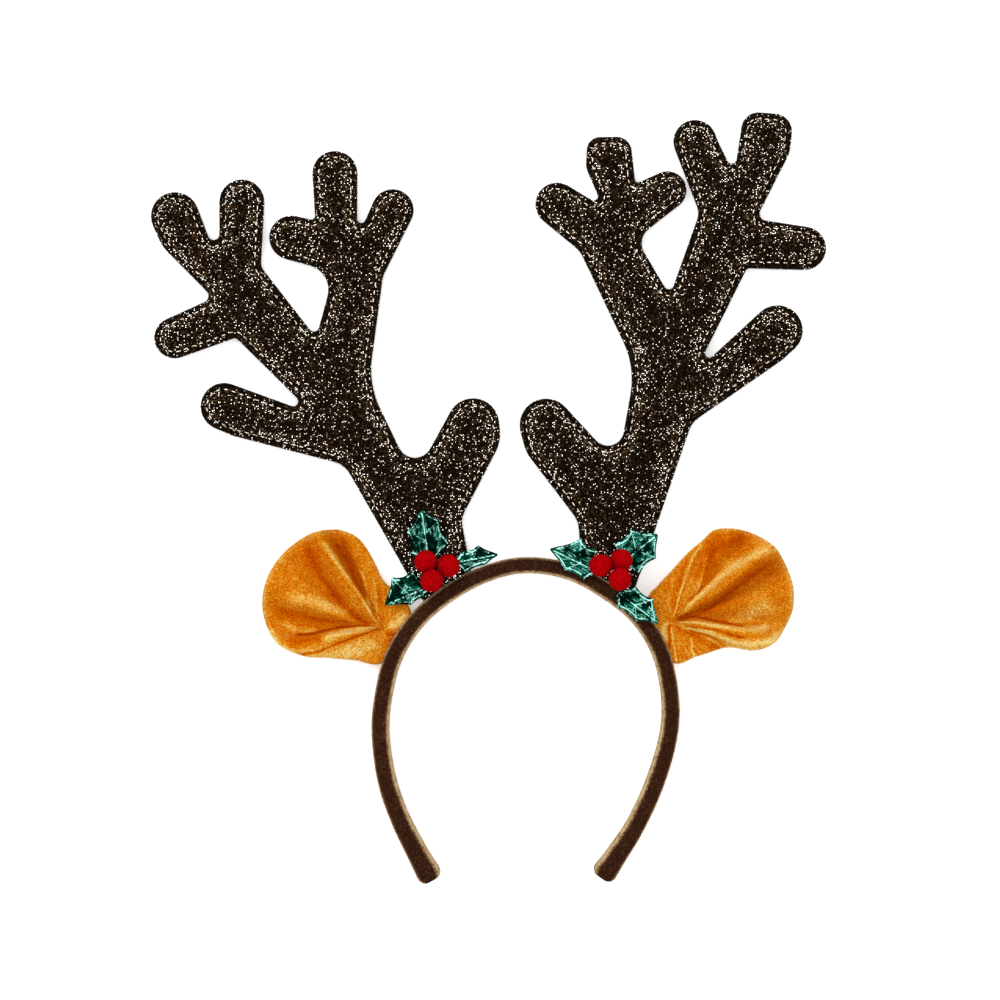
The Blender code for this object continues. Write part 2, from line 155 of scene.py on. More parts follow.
class Nodes:
    """A node tree that is written as expressions."""

    def __init__(self, tree: bpy.types.NodeTree) -> None:
        """Keeps the tree."""
        self.tree = tree

    def node(
        self,
        kind: str,
        settings: dict[str, Any] | None = None,
        values: dict[Any, Any] | None = None,
        out: int | str = 0,
    ) -> Wire:
        """Adds a node.

        Args:
            kind: the node's type.
            settings: its own settings, and "stops" for a ramp's positions and colours.
            values: a number, colour or wire for each socket, by its name or place.
            out: the output that is wanted.

        Returns:
            That output.
        """
        made = self.tree.nodes.new(kind)
        for key, value in (settings or {}).items():
            if key == "stops":
                ramp = made.color_ramp
                while len(ramp.elements) < len(value):
                    ramp.elements.new(1.0)
                for element, (place, colour) in zip(ramp.elements, value):
                    element.position = place
                    element.color = (*colour, 1.0)
            else:
                setattr(made, key, value)
        for key, value in (values or {}).items():
            self.put(made.inputs[key], value)
        return Wire(self, made.outputs[out])

    def put(self, socket: bpy.types.NodeSocket, value: Any) -> None:
        """Fills a socket.

        Args:
            socket: the socket.
            value: a wire that is linked to it, or its own value.
        """
        if isinstance(value, Wire):
            self.tree.links.new(value.socket, socket)
        elif socket.type == "RGBA":
            socket.default_value = (*value, 1.0)
        else:
            socket.default_value = value

    def maths(self, operation: str, first: "Wire | float", second: "Wire | float" = 0.0) -> Wire:
        """The result of a Math node."""
        settings = {"operation": operation}
        return self.node("ShaderNodeMath", settings, {0: first, 1: second})

    def blend(self, share: "Wire | float", low: "Wire | Colour", high: "Wire | Colour") -> Wire:
        """Mixes two colours.

        Args:
            share: how far to go from one to the other, 0 to 1.
            low: the colour at 0.
            high: the colour at 1.

        Returns:
            The mixed colour.
        """
        made = self.tree.nodes.new("ShaderNodeMix")
        made.data_type = "RGBA"
        for name, value in (("Factor_Float", share), ("A_Color", low), ("B_Color", high)):
            self.put(next(s for s in made.inputs if s.identifier == name), value)
        return Wire(self, next(s for s in made.outputs if s.identifier == "Result_Color"))

    def place(self) -> Wire:
        """The place in the object's own coordinates, in metres."""
        return self.node("ShaderNodeTexCoord", out="Object")

    def attribute(self, name: str) -> Wire:
        """A value that the mesh carries."""
        return self.node("ShaderNodeAttribute", {"attribute_name": name}, out="Fac")

    def vector(self, *parts: "Wire | float") -> Wire:
        """A vector from up to three parts."""
        return self.node("ShaderNodeCombineXYZ", None, dict(enumerate(parts)))

    def scaled(self, vector: Wire, scale: Point) -> Wire:
        """A vector with each part times its own number."""
        return self.node("ShaderNodeMapping", None, {"Vector": vector, "Scale": scale})

    def noise(self, size: float, detail: float = 2.0, where: Wire | None = None) -> Wire:
        """Soft noise.

        Args:
            size: the size of its lumps.
            detail: how many finer layers it has.
            where: the place that it reads, or None for the object's own.

        Returns:
            The noise, 0 to 1.
        """
        values = {"Vector": where or self.place(), "Scale": 1 / size, "Detail": detail}
        return self.node("ShaderNodeTexNoise", None, values)

    def cells(self, size: float, out: str, flat: bool = False) -> Wire:
        """Cells of that size: the distance to a cell's middle, or its own random number of 0 to 1.

        Args:
            size: the cells' size.
            out: "Distance", or "Color" for the random number.
            flat: whether they are the same at every height.

        Returns:
            The distance in sizes, or the number.
        """
        settings = {"voronoi_dimensions": "2D" if flat else "3D"}
        values = {"Vector": self.place(), "Scale": 1 / size}
        made = self.node("ShaderNodeTexVoronoi", settings, values, out)
        return made if out == "Distance" else self.node("ShaderNodeSeparateColor", None, {"Color": made})

    def bump(self, height: Wire, depth: float, strength: float = 0.6) -> Wire:
        """A normal for a surface that rises by a height of 0 to 1 times a depth in metres."""
        values = {"Height": height, "Distance": depth, "Strength": strength}
        return self.node("ShaderNodeBump", None, values, "Normal")


@dataclass(frozen=True)
class Finish:
    """What every finish has: a slot in the record and a shader."""

    slot: str
    roughness: float
    metallic: float = 0.0
    sheen: float = 0.0
    sheen_tint: Colour = (1.0, 1.0, 1.0)
    specular: float = 0.5
    glow: float = 0.0

    def material(self) -> bpy.types.Material:
        """The finish's material, made the first time that it is asked for.

        Returns:
            The material.
        """
        name = f"{self.slot}_{type(self).__name__.lower()}"
        if name in bpy.data.materials:
            return bpy.data.materials[name]
        made = bpy.data.materials.new(name)
        made.use_nodes = True
        nodes = Nodes(made.node_tree)
        shader = made.node_tree.nodes["Principled BSDF"]
        constants = {
            "Roughness": self.roughness,
            "Metallic": self.metallic,
            "Sheen Weight": self.sheen,
            "Sheen Roughness": 0.4,
            "Sheen Tint": self.sheen_tint,
            "Specular IOR Level": self.specular,
            "Emission Strength": self.glow,
        }
        for socket, value in (constants | self.paint(nodes)).items():
            nodes.put(shader.inputs[socket], value)
        return made

    def paint(self, nodes: Nodes) -> dict[str, Wire]:
        """What changes over the surface, by the shader's sockets."""
        raise NotImplementedError


@dataclass(frozen=True)
class Velvet(Finish):
    """Velvet coloured through a ramp by the mesh's tone, which is painted sheen where high and painted
    shade where low.
    """

    shades: tuple = ()
    mottle: float = 0.9
    grain: float = 2.2
    streak: float = 0.0
    patch_size: float = 8 * MM
    pile_size: float = 0.85 * MM
    fibre_size: float = 0.40 * MM
    streak_size: float = 1.1 * MM
    streak_stretch: float = 0.10
    nap_size: float = 0.5 * MM
    nap_depth: float = 0.35 * MM

    def paint(self, nodes: Nodes) -> dict[str, Wire]:
        """Colour by the tone, which is painted light and shade, broken up by the pile and by streaks out of
        the gathers.

        Args:
            nodes: the material's nodes.

        Returns:
            The wires, by socket.
        """
        patches = nodes.noise(self.patch_size, 3.0) - 0.5
        pile = nodes.noise(self.pile_size) - 0.5
        fibre = nodes.cells(self.fibre_size, "Color")
        uneven = nodes.noise(3 * MM, 1.0) * 0.9 + 0.55
        tone = nodes.attribute("tone") * uneven + patches * self.mottle
        tone = tone + (pile * 0.2 + (fibre - 0.5) * 1.2) * self.grain
        if self.streak:
            own = nodes.vector(nodes.attribute("along") * self.streak_stretch, nodes.attribute("across"))
            lines = nodes.noise(self.streak_size, where=own)
            tone = tone + (lines - 0.5) * (nodes.attribute("gather") * self.streak)
        low, high = self.shades[0][0], self.shades[-1][0]
        stops = [((shade - low) / (high - low), colour) for shade, colour in self.shades]
        colour = nodes.node("ShaderNodeValToRGB", {"stops": stops}, {"Fac": (tone - low) / (high - low)})
        normal = nodes.bump(nodes.noise(self.nap_size), self.nap_depth)
        return {"Base Color": colour, "Normal": normal}


@dataclass(frozen=True)
class GlitterCloth(Finish):
    """Dark knitted cloth with metal threads, whose glints are painted as bright, glowing dots."""

    shade: Colour = srgb(7, 5, 3)
    cloth: Colour = srgb(27, 18, 11)
    gold: Colour = srgb(142, 108, 72)
    # white and spark are the painted glints of the metal threads: brighter than white, and glowing
    white: Colour = srgb(302, 298, 286)
    black: Colour = (0.0, 0.0, 0.0)
    spark: Colour = (1.0, 0.95, 0.86)
    lump_size: float = 5 * MM
    dot_size: float = 0.72 * MM
    speckle_size: float = 0.47 * MM
    knit_size: float = 0.9 * MM
    knit_stretch: Point = (1.0, 0.45, 1.0)

    def paint(self, nodes: Nodes) -> dict[str, Wire]:
        """Near black cloth under a fine gold speckle and single white dots of painted glint, both thicker
        beside the seam, where more glints are painted on the padding's slope.

        Args:
            nodes: the material's nodes.

        Returns:
            The wires, by socket.
        """
        rim = nodes.attribute("rim")
        lumps = nodes.noise(self.lump_size)
        # More painted glints beside the seam, where the padding slopes; the lumps spread them unevenly
        share = rim * 0.11 + lumps * 0.16 + 0.085
        dots = nodes.cells(self.dot_size, "Distance", True).step(0.27, 0.19)
        lit = dots * ((share - nodes.cells(self.dot_size, "Color", True)) / 0.15).clamped()
        knit = nodes.noise(self.knit_size, where=nodes.scaled(nodes.place(), self.knit_stretch))
        # The gold speckle is the cloth's own, thickened beside the seam by painted glints
        speckle = nodes.cells(self.speckle_size, "Color", True) + rim * 0.14 + lumps * 0.2
        speckle = ((speckle - 0.84) / 0.45).clamped()
        colour = nodes.blend(knit, self.shade, self.cloth)
        colour = nodes.blend((speckle * speckle).over(lit), colour, self.gold)
        # The white dots and their glow are painted glints
        colour = nodes.blend(lit * lit, colour, self.white)
        return {
            "Base Color": colour,
            "Roughness": 0.85 - lit * 0.4,
            "Emission Color": nodes.blend(lit * lit, self.black, self.spark),
            "Normal": nodes.bump(knit * 0.6 + speckle * 0.4, 0.2 * MM),
        }


@dataclass(frozen=True)
class Foil(Finish):
    """Crinkled metallic foil with painted glints along its creases."""

    # deep is painted shade in the crinkles' hollows and glint a painted highlight
    deep: Colour = srgb(0, 24, 17)
    plain: Colour = srgb(0, 104, 78)
    glint: Colour = srgb(240, 350, 325)
    fold_size: float = 4.2 * MM
    streak_size: float = 1.4 * MM
    fine_size: float = 0.9 * MM
    drawn_out: Point = (0.30, 1.0, 1.0)

    def paint(self, nodes: Nodes) -> dict[str, Wire]:
        """Painted shade in the hollows, green foil and painted glints along the creases and the raised
        edge.

        Args:
            nodes: the material's nodes.

        Returns:
            The wires, by socket.
        """
        own = nodes.vector(nodes.attribute("along"), nodes.attribute("across"), nodes.attribute("leaf"))
        # shine lifts one cluster's foil towards the lighter green: painted reflection
        folds = nodes.noise(self.fold_size) + nodes.attribute("shine") * 0.08
        streaks = nodes.noise(self.streak_size, where=nodes.scaled(own, self.drawn_out))
        fine = nodes.noise(self.fine_size)
        crinkle = folds * 0.6 + streaks * 0.4
        creases = nodes.maths("ABSOLUTE", streaks - 0.53).step(0.020, 0.0) * folds.step(0.50, 0.60)
        edges = nodes.attribute("crest").step(0.25, 0.95) * (fine * 0.5 + folds * 0.5).step(0.46, 0.56)
        glints = creases.over(edges)
        colour = nodes.blend(crinkle.step(0.46, 0.64), self.deep, self.plain)
        return {
            "Base Color": nodes.blend(glints, colour, self.glint),
            "Roughness": 0.42 - glints * 0.15,
            "Normal": nodes.bump(crinkle, 0.8 * MM, 0.8),
        }


@dataclass(frozen=True)
class Felt(Finish):
    """Matted wool."""

    # deep is painted shade between the tufts
    deep: Colour = srgb(160, 1, 7)
    plain: Colour = srgb(206, 4, 14)
    tuft_size: float = 0.9 * MM

    def paint(self, nodes: Nodes) -> dict[str, Wire]:
        """Red with painted shade in the dips between the tufts, which also mottles it.

        Args:
            nodes: the material's nodes.

        Returns:
            The wires, by socket.
        """
        tufts = nodes.noise(self.tuft_size, 4.0)
        colour = nodes.blend(tufts.step(0.3, 0.65), self.deep, self.plain)
        return {"Base Color": colour, "Normal": nodes.bump(tufts, 0.22 * MM)}


@dataclass(frozen=True)
class Thread(Finish):
    """Sewing thread."""

    dull: Colour = srgb(160, 134, 98)
    plain: Colour = srgb(276, 262, 240)

    def paint(self, nodes: Nodes) -> dict[str, Wire]:
        """A colour that changes from stitch to stitch, and the same colour as a painted glow where the
        finish has one.
        """
        colour = nodes.blend(nodes.noise(3 * MM).step(0.30, 0.55), self.dull, self.plain)
        return {"Base Color": colour, "Emission Color": colour}


@dataclass(frozen=True)
class Nap(Thread):
    """Loose fibres that stand off a cloth."""


@dataclass(frozen=True)
class Paper(Finish):
    """The pale table, which is lit a little from below."""

    plain: Colour = (0.93, 0.93, 0.93)
    glow: float = 0.4

    def paint(self, nodes: Nodes) -> dict[str, Wire]:
        """White with hardly any grain.

        Args:
            nodes: the material's nodes.

        Returns:
            The wires, by socket.
        """
        faint = tuple(c * 0.99 for c in self.plain)
        colour = nodes.blend(nodes.noise(2 * MM), faint, self.plain)
        return {"Base Color": colour, "Emission Color": colour}


BROWN_VELVET = Velvet(
    "brown_velvet", 0.95, sheen=0.04, sheen_tint=srgb(210, 170, 130), specular=0.0,
    shades=(
        # tone, colour; the pale top stops are painted sheen on the band's flanks
        (-0.7, srgb(32, 15, 10)),
        (0.0, srgb(57, 31, 20)),
        (0.4, srgb(116, 80, 48)),
        (1.0, srgb(226, 196, 148)),
    ),
    mottle=0.25, grain=0.5,
)
ORANGE_VELVET = Velvet(
    "orange_velvet", 0.95, sheen=0.02, sheen_tint=srgb(255, 220, 150), specular=0.0,
    shades=(
        # tone, colour; the dark stops are painted shade in creases, the pale ones painted sheen on ridges
        # and edges
        (-1.9, srgb(52, 24, 16)),
        (-1.2, srgb(182, 62, 0)),
        (-0.5, srgb(208, 91, 0)),
        (0.0, srgb(227, 122, 0)),
        (0.5, srgb(243, 174, 44)),
        (1.1, srgb(253, 227, 142)),
    ),
    mottle=0.6, grain=1.0, streak=1.8,
)
# Band and ear fibres are pale: painted sheen on the loose pile along their edges
BAND_NAP = Nap("brown_velvet", 0.95, specular=0.0, dull=srgb(120, 90, 58), plain=srgb(222, 196, 156))
EAR_NAP = Nap("orange_velvet", 0.95, specular=0.0, dull=srgb(222, 150, 50), plain=srgb(250, 216, 140))
CLOTH_NAP = Nap("glitter_cloth", 0.9, specular=0.0, dull=srgb(28, 20, 13), plain=srgb(96, 84, 64))
# The cloth's white dots glow strongly: painted glints
GLITTER_CLOTH = GlitterCloth("glitter_cloth", 0.7, specular=0.0, glow=2.6)
GREEN_FOIL = Foil("green_foil", 0.3, metallic=1.0)
RED_FELT = Felt("red_felt", 0.95, sheen=0.02, sheen_tint=srgb(255, 120, 120), specular=0.0)
# The stitches glow a little: painted light
GOLD_THREAD = Thread("glitter_cloth", 0.6, glow=0.7)


def as_object(name: str, points: Any, faces: Any, finish: Finish) -> bpy.types.Object:
    """Makes a smooth, dressed object at the origin.

    Args:
        name: the object's name.
        points: its corners.
        faces: each face's corners, by number.
        finish: its finish.

    Returns:
        The object.
    """
    mesh = bpy.data.meshes.new(name)
    mesh.from_pydata([tuple(map(float, p)) for p in points], [], [tuple(map(int, f)) for f in faces])
    mesh.validate()
    mesh.shade_smooth()
    mesh.materials.append(finish.material())
    made = bpy.data.objects.new(name, mesh)
    bpy.context.scene.collection.objects.link(made)
    return made


def carry(obj: bpy.types.Object, name: str, values: Any) -> None:
    """Stores a number for each vertex under a name that materials can read."""
    held = obj.data.attributes.new(name, "FLOAT", "POINT")
    held.data.foreach_set("value", np.asarray(values, np.float32))


def bake(obj: bpy.types.Object) -> None:
    """Makes an object's modifiers part of its mesh.

    Args:
        obj: the object.
    """
    deps = bpy.context.evaluated_depsgraph_get()
    solved = obj.evaluated_get(deps)
    made = bpy.data.meshes.new_from_object(solved, preserve_all_data_layers=True, depsgraph=deps)
    old = obj.data
    obj.modifiers.clear()
    obj.data = made
    made.name = obj.name
    bpy.data.meshes.remove(old)


def cut(obj: bpy.types.Object, cutter: bpy.types.Object) -> None:
    """Takes space out of an object.

    Args:
        obj: the object.
        cutter: the space.
    """
    difference = obj.modifiers.new("clearance", "BOOLEAN")
    difference.operation = "DIFFERENCE"
    difference.solver = "EXACT"
    difference.object = cutter
    bake(obj)


def smooth(rows: Any, steps: int, closed: bool = False) -> np.ndarray:
    """A smooth curve through rows of numbers.

    Args:
        rows: the rows.
        steps: stretches between two rows.
        closed: whether the last row joins the first.

    Returns:
        The curve's rows.
    """
    rows = np.array(rows, float)
    count = len(rows)
    if closed:
        padded = np.vstack([rows[-1], rows, rows[0], rows[1]])
        spans = count
    else:
        padded = np.vstack([2 * rows[0] - rows[1], rows, 2 * rows[-1] - rows[-2]])
        spans = count - 1
    t = np.arange(steps)[:, None] / steps
    curve = []
    for i in range(spans):
        before, start, end, after = padded[i:i + 4]
        lead, trail = (end - before) / 2, (after - start) / 2
        bend = (end - start) * 3 - lead * 2 - trail
        twist = lead + trail - (end - start) * 2
        curve.append(start + lead * t + bend * t**2 + twist * t**3)
    if not closed:
        curve.append(rows[-1:])
    return np.vstack(curve)


def to_line(points: np.ndarray, line: np.ndarray, closed: bool) -> np.ndarray:
    """How far points lie from a line.

    Args:
        points: places, in two columns.
        line: the line's corners, in two columns.
        closed: whether the line's end joins its start.

    Returns:
        The distances.
    """
    ends = np.roll(line, -1, 0) if closed else line[1:]
    starts = line if closed else line[:-1]
    span = ends - starts
    square = np.maximum((span**2).sum(1), 1e-18)
    best = np.zeros(len(points))
    batch = 2000
    for first in range(0, len(points), batch):
        rel = points[first:first + batch, None] - starts[None]
        t = np.clip((rel * span).sum(2) / square, 0, 1)
        off = rel - t[..., None] * span
        best[first:first + batch] = np.sqrt((off**2).sum(2)).min(1)
    return best


def within(points: np.ndarray, outline: np.ndarray) -> np.ndarray:
    """Which points lie inside a closed outline.

    Args:
        points: places, in two columns.
        outline: the outline's corners, in two columns.

    Returns:
        True or False for each point.
    """
    crossings = np.zeros(len(points), int)
    for start, end in zip(outline, np.roll(outline, -1, 0)):
        spans = (start[1] > points[:, 1]) != (end[1] > points[:, 1])
        with np.errstate(divide="ignore", invalid="ignore"):
            at = start[0] + (end[0] - start[0]) * (points[:, 1] - start[1]) / (end[1] - start[1])
        crossings += spans & (at > points[:, 0])
    return crossings % 2 == 1


@dataclass
class Band:
    """The velvet band: a padded strip bent into a U, with wider rounded tips."""

    thickness: float = 0.0070
    flat: float = 0.0016
    side_flat: float = 0.0036
    tip_round: float = 0.0037
    steps: int = 9
    corner_steps: int = 7
    tip_turns: tuple = (18, 34, 48, 60, 70, 78, 84)
    line: tuple = (
        # across, down, thick
        (-0.672, 0.978, 1.55),
        (-0.752, 0.911, 1.36),
        (-0.869, 0.803, 1.25),
        (-0.959, 0.683, 1.20),
        (-1.003, 0.540, 1.12),
        (-0.986, 0.422, 1.12),
        (-0.910, 0.289, 1.12),
        (-0.738, 0.168, 1.09),
        (-0.483, 0.075, 1.05),
        (-0.234, 0.021, 1.02),
        (0.000, 0.000, 1.00),
        (0.283, 0.018, 1.02),
        (0.531, 0.075, 1.05),
        (0.772, 0.162, 1.09),
        (0.931, 0.283, 1.09),
        (0.995, 0.429, 1.12),
        (0.979, 0.549, 1.15),
        (0.890, 0.689, 1.20),
        (0.759, 0.822, 1.22),
        (0.614, 0.927, 1.38),
        (0.548, 0.971, 1.55),
    )

    def section(self, thick: float, width: float) -> list[tuple[float, float]]:
        """Points round the band's section.

        Args:
            thick: its size outwards.
            width: its size upwards.

        Returns:
            The points, as outwards and up.
        """
        flat_out = min(self.flat, thick) / 2
        flat_up = min(self.side_flat, width) / 2
        points = []
        for corner in range(4):
            side_out = 1 if corner in (0, 3) else -1
            side_up = 1 if corner < 2 else -1
            for k in range(self.corner_steps + 1):
                angle = pi / 2 * (corner + k / self.corner_steps)
                out = side_out * flat_out + (thick / 2 - flat_out) * cos(angle)
                points.append((out, side_up * flat_up + (width / 2 - flat_up) * sin(angle)))
        return points

    def mesh(self, grow: float, steps: int) -> tuple[np.ndarray, list, np.ndarray]:
        """The band, or the space that it takes up.

        Args:
            grow: the air round it.
            steps: stretches between two rows of its line.

        Returns:
            Its points, its faces, and for each point its share of the way out across the section, from
            which the painted sheen is reckoned.
        """
        rows = [(*beside_band(a, d), t * self.thickness) for a, d, t in self.line]
        curve = smooth(rows, steps)
        ahead = np.gradient(curve[:, :2], axis=0)
        ahead /= np.linalg.norm(ahead, axis=1)[:, None]
        stations = [(c[:2], a, c[2], BAND_WIDTH) for c, a in zip(curve, ahead)]

        def tip(station: tuple, direction: int) -> list:
            """Stations round a tip's rounding.

            Args:
                station: the last station before it.
                direction: 1 along the line, or -1 against it.

            Returns:
                The stations, outwards.
            """
            middle, along, thick, width = station
            rounded = []
            for angle in map(radians, self.tip_turns):
                less = 2 * self.tip_round * (1 - cos(angle))
                place = middle + along * direction * (self.tip_round + grow) * sin(angle)
                rounded.append((place, along, thick - less, width - less))
            return rounded

        stations = tip(stations[0], -1)[::-1] + stations + tip(stations[-1], 1)
        points, outward_shares = [], []
        for middle, along, thick, width in stations:
            outward = np.array((-along[1], along[0]))
            for out, up in self.section(thick + 2 * grow, width + 2 * grow):
                flat = middle + outward * out
                points.append((flat[0], flat[1], BAND_WIDTH / 2 + up))
                outward_shares.append(2 * out / thick)
        sides = 4 * (self.corner_steps + 1)
        faces = []
        for i in range(len(stations) - 1):
            for k in range(sides):
                a, b = i * sides + k, i * sides + (k + 1) % sides
                faces.append((a, b, b + sides, a + sides))
        faces.append(tuple(range(sides))[::-1])
        faces.append(tuple(range(len(points) - sides, len(points))))
        return np.array(points), faces, np.array(outward_shares)

    def build(self) -> bpy.types.Object:
        """The band in the frame, with painted sheen on its flanks.

        Returns:
            The band.
        """
        points, faces, out = self.mesh(0.0, self.steps)
        made = as_object("band_velvet", points, faces, BROWN_VELVET)
        # Painted sheen: lighter towards the inner flank and less so towards the outer one, a little darker
        # between them
        carry(made, "tone", ramp(-out, 0.52, 0.38) + ramp(out, 0.68, 0.28) * 0.75 - 0.13)
        rim = ramp(-out, 0.80, 0.2) + 0.5 * ramp(out, 0.90, 0.1)
        off_table = 1.5 * MM
        carry(made, "rim", np.where(points[:, 2] > off_table, rim, 0.0))
        Fuzz(0.55 * MM, 0.06 * MM, 5.0e6, 0.8).grow("band_nap", made, BAND_NAP, 5, "rim")
        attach(made, "root")
        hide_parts("band")
        return made

    def clearance(self) -> bpy.types.Object:
        """The band's space with a little air round it, to cut what meets it.

        Returns:
            The space, which isn't rendered.
        """
        points, faces, _ = self.mesh(GAP, 3)
        made = as_object("band_clearance", points, faces, BROWN_VELVET)
        made.hide_render = True
        return made


@dataclass
class Antler:
    """One padded antler of glitter cloth, with a flat border outside its seam."""

    side: str
    foot: tuple[float, float]
    spread: float
    height: float
    table: tuple
    tine_radius: float = 0.0101
    padding: float = 0.0074
    border: float = 0.0018
    border_width: float = 0.0030
    reach: float = 0.0105
    rings: tuple = (0.0, 0.5, 1.2, 2.2, 3.0, 3.8, 4.8, 5.9)
    mesh_step: float = 2.1 * MM
    rim_middle: float = 5.0 * MM
    rim_width: float = 1.6 * MM
    seam_width: float = 0.55 * MM
    seam_depth: float = 0.35 * MM
    frames: int = 20
    most_moved: float = 1.0 * MM
    outline: np.ndarray = field(default_factory=lambda: np.zeros((0, 2)))

    def belt(self, inset: float, step: float) -> np.ndarray:
        """Outline of the belt round the pulleys.

        Args:
            inset: how far it is drawn in.
            step: longest stretch along it.

        Returns:
            Its points, in two columns.
        """
        foot = beside_band(*self.foot)
        pulleys = [
            (foot.x + x * self.spread, foot.y + y * self.height, r * self.tine_radius)
            for x, y, r in self.table
        ]

        def right_of(heading: float) -> Vector:
            """The direction to the right of a heading."""
            return Vector((sin(heading), -cos(heading)))

        count = len(pulleys)
        headings = []
        for i in range(count):
            (x, y, r), (x2, y2, r2) = pulleys[i], pulleys[(i + 1) % count]
            share = (r2 - r) / hypot(x2 - x, y2 - y)
            headings.append(atan2(y2 - y, x2 - x) + asin(max(-1.0, min(1.0, share))))
        corners = []
        for i, (x, y, r) in enumerate(pulleys):
            centre, radius = Vector((x, y)), r - inset
            start, end = headings[i - 1], headings[i]
            turn = (end - start) % tau if r < 0 else -((start - end) % tau)
            if abs(turn) > radians(342):
                turn = 0.0
            if r >= 0 and radius <= 0:
                corners.append(centre - right_of(start + turn / 2) * radius / cos(turn / 2))
                continue
            steps = max(1, ceil(abs(turn) / radians(12)), ceil(abs(turn * radius) / step))
            corners += [centre - right_of(start + turn * k / steps) * radius for k in range(steps + 1)]
        spaced = []
        for i, point in enumerate(corners):
            ahead = corners[(i + 1) % len(corners)]
            far = (ahead - point).length
            steps = max(1, ceil(far / step))
            spaced += [tuple(point.lerp(ahead, k / steps)) for k in range(steps) if far > GAP / 3]
        return np.array(spaced)

    def half(self, deep: np.ndarray) -> np.ndarray:
        """Half the thickness, with a dip along the seam.

        Args:
            deep: distances from the outline.

        Returns:
            Half the thickness at each.
        """
        share = ramp(deep, self.border_width, self.reach - self.border_width)
        full = self.border / 2 + (self.padding - self.border) / 2 * np.sqrt(1 - (1 - share) ** 2)
        edge = self.border / 2 * np.sqrt(np.clip(deep / (0.9 * MM), 0.12, 1))
        dip = self.seam_depth * bell(deep - self.border_width, self.seam_width)
        return np.where(deep < self.border_width, edge, full) - dip

    def middle(self, up: np.ndarray) -> np.ndarray:
        """Height of the middle of the cloth, which drops a little towards the top.

        Args:
            up: places along +Y.

        Returns:
            The height at each.
        """
        foot = beside_band(*self.foot).y
        share = ramp(up, foot, self.height)
        return BAND_WIDTH / 2 - (BAND_WIDTH - self.padding) / 2 * share

    def flat(self) -> tuple[np.ndarray, list]:
        """Points all over the antler's outline, and the triangles between them.

        Returns:
            The points in two columns, and each triangle's points by number.
        """
        step = self.mesh_step
        rings = [self.belt(inset * MM, step) for inset in self.rings]
        self.outline = rings[0]
        around = len(self.outline)
        edges = [(k, (k + 1) % around) for k in range(around)]
        points = [Vector(p) for ring in rings for p in ring]
        low, high = self.outline.min(0), self.outline.max(0)
        ys = np.arange(low[1], high[1], step * 0.87)
        grid = [
            (x, y)
            for row, y in enumerate(ys)
            for x in np.arange(low[0] + step / 2 * (row % 2), high[0], step)
        ]
        grid = np.array(grid)
        grid = grid[within(grid, self.outline)]
        deep = to_line(grid, self.outline, True)
        points += [Vector(p) for p in grid[deep > (self.rings[-1] + 1.0) * MM]]
        flat, _, triangles, *_ = delaunay_2d_cdt(points, edges, [], 1, GAP / 10)
        return np.array([tuple(p) for p in flat]), triangles

    def build(self, cutter: bpy.types.Object) -> bpy.types.Object:
        """The antler in the frame: sewn flat, blown up by simulation and cut clear of the band.

        Args:
            cutter: the band's clearance.

        Returns:
            The antler.
        """
        flat, triangles = self.flat()
        deep = to_line(flat, self.outline, True)
        mid = self.middle(flat[:, 1])
        half = self.half(deep)
        under = len(flat)
        corners = np.vstack([np.column_stack([flat, mid + half]), np.column_stack([flat, mid - half])])
        faces, uses = [], set()
        for a, b, c in triangles:
            faces += [(a, b, c), (under + a, under + c, under + b)]
            uses |= {(a, b), (b, c), (c, a)}
        faces += [(a, under + a, under + b, b) for a, b in uses if (b, a) not in uses]
        made = as_object(f"antler_{self.side}_cloth", corners, faces, GLITTER_CLOTH)
        both = np.concatenate([deep, deep])
        # rim: a band along the seam, where the cloth paints more glints
        carry(made, "rim", bell(both - self.rim_middle, self.rim_width))
        carry(made, "fray", both < 0.3 * MM)
        self.blow_up(made, both, np.concatenate([half, -half]) + np.concatenate([mid, mid]))
        cut(made, cutter)
        Fuzz(0.5 * MM, 0.06 * MM, 9.0e6, 0.8).grow(f"antler_{self.side}_nap", made, CLOTH_NAP, 3, "fray")
        made.data.shade_smooth()
        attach(made, "root")
        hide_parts(f"antler_{self.side}")
        return made

    def blow_up(self, obj: bpy.types.Object, deep: np.ndarray, rest: np.ndarray) -> None:
        """Puffs and puckers the cloth with the border held.

        Args:
            obj: the antler.
            deep: each vertex's distance from the outline.
            rest: each vertex's height as sewn.
        """
        start = np.array([v.co for v in obj.data.vertices])
        held = obj.vertex_groups.new(name="held")
        held.add([int(i) for i in np.nonzero(deep < self.border_width + 0.1 * MM)[0]], 1.0, "REPLACE")
        cloth = obj.modifiers.new("cloth", "CLOTH")
        cloth.settings.quality = 4
        cloth.settings.mass = 0.15
        cloth.settings.tension_stiffness = 20
        cloth.settings.compression_stiffness = 20
        cloth.settings.bending_stiffness = 0.3
        cloth.settings.use_pressure = True
        cloth.settings.uniform_pressure_force = 4.0
        cloth.settings.shrink_min = -0.03
        cloth.settings.effector_weights.gravity = 0.0
        cloth.settings.vertex_group_mass = "held"
        cloth.point_cache.frame_start = 1
        cloth.point_cache.frame_end = self.frames
        scene = bpy.context.scene
        for number in range(1, self.frames + 1):
            scene.frame_set(number)
        deps = bpy.context.evaluated_depsgraph_get()
        moved = np.array([v.co for v in obj.evaluated_get(deps).data.vertices])
        obj.modifiers.clear()
        scene.frame_set(1)
        shift = moved - start
        far = np.linalg.norm(shift, axis=1)
        log.info("%s: cloth moved %.2f mm at most", obj.name, far.max() / MM)
        shift *= (np.minimum(far, self.most_moved) / np.maximum(far, 1e-12))[:, None]
        placed = start + shift
        placed[:, 2] = np.maximum(placed[:, 2], 0.0)
        obj.data.vertices.foreach_set("co", placed.astype(np.float32).ravel())
        obj.vertex_groups.clear()
        obj.data.update()

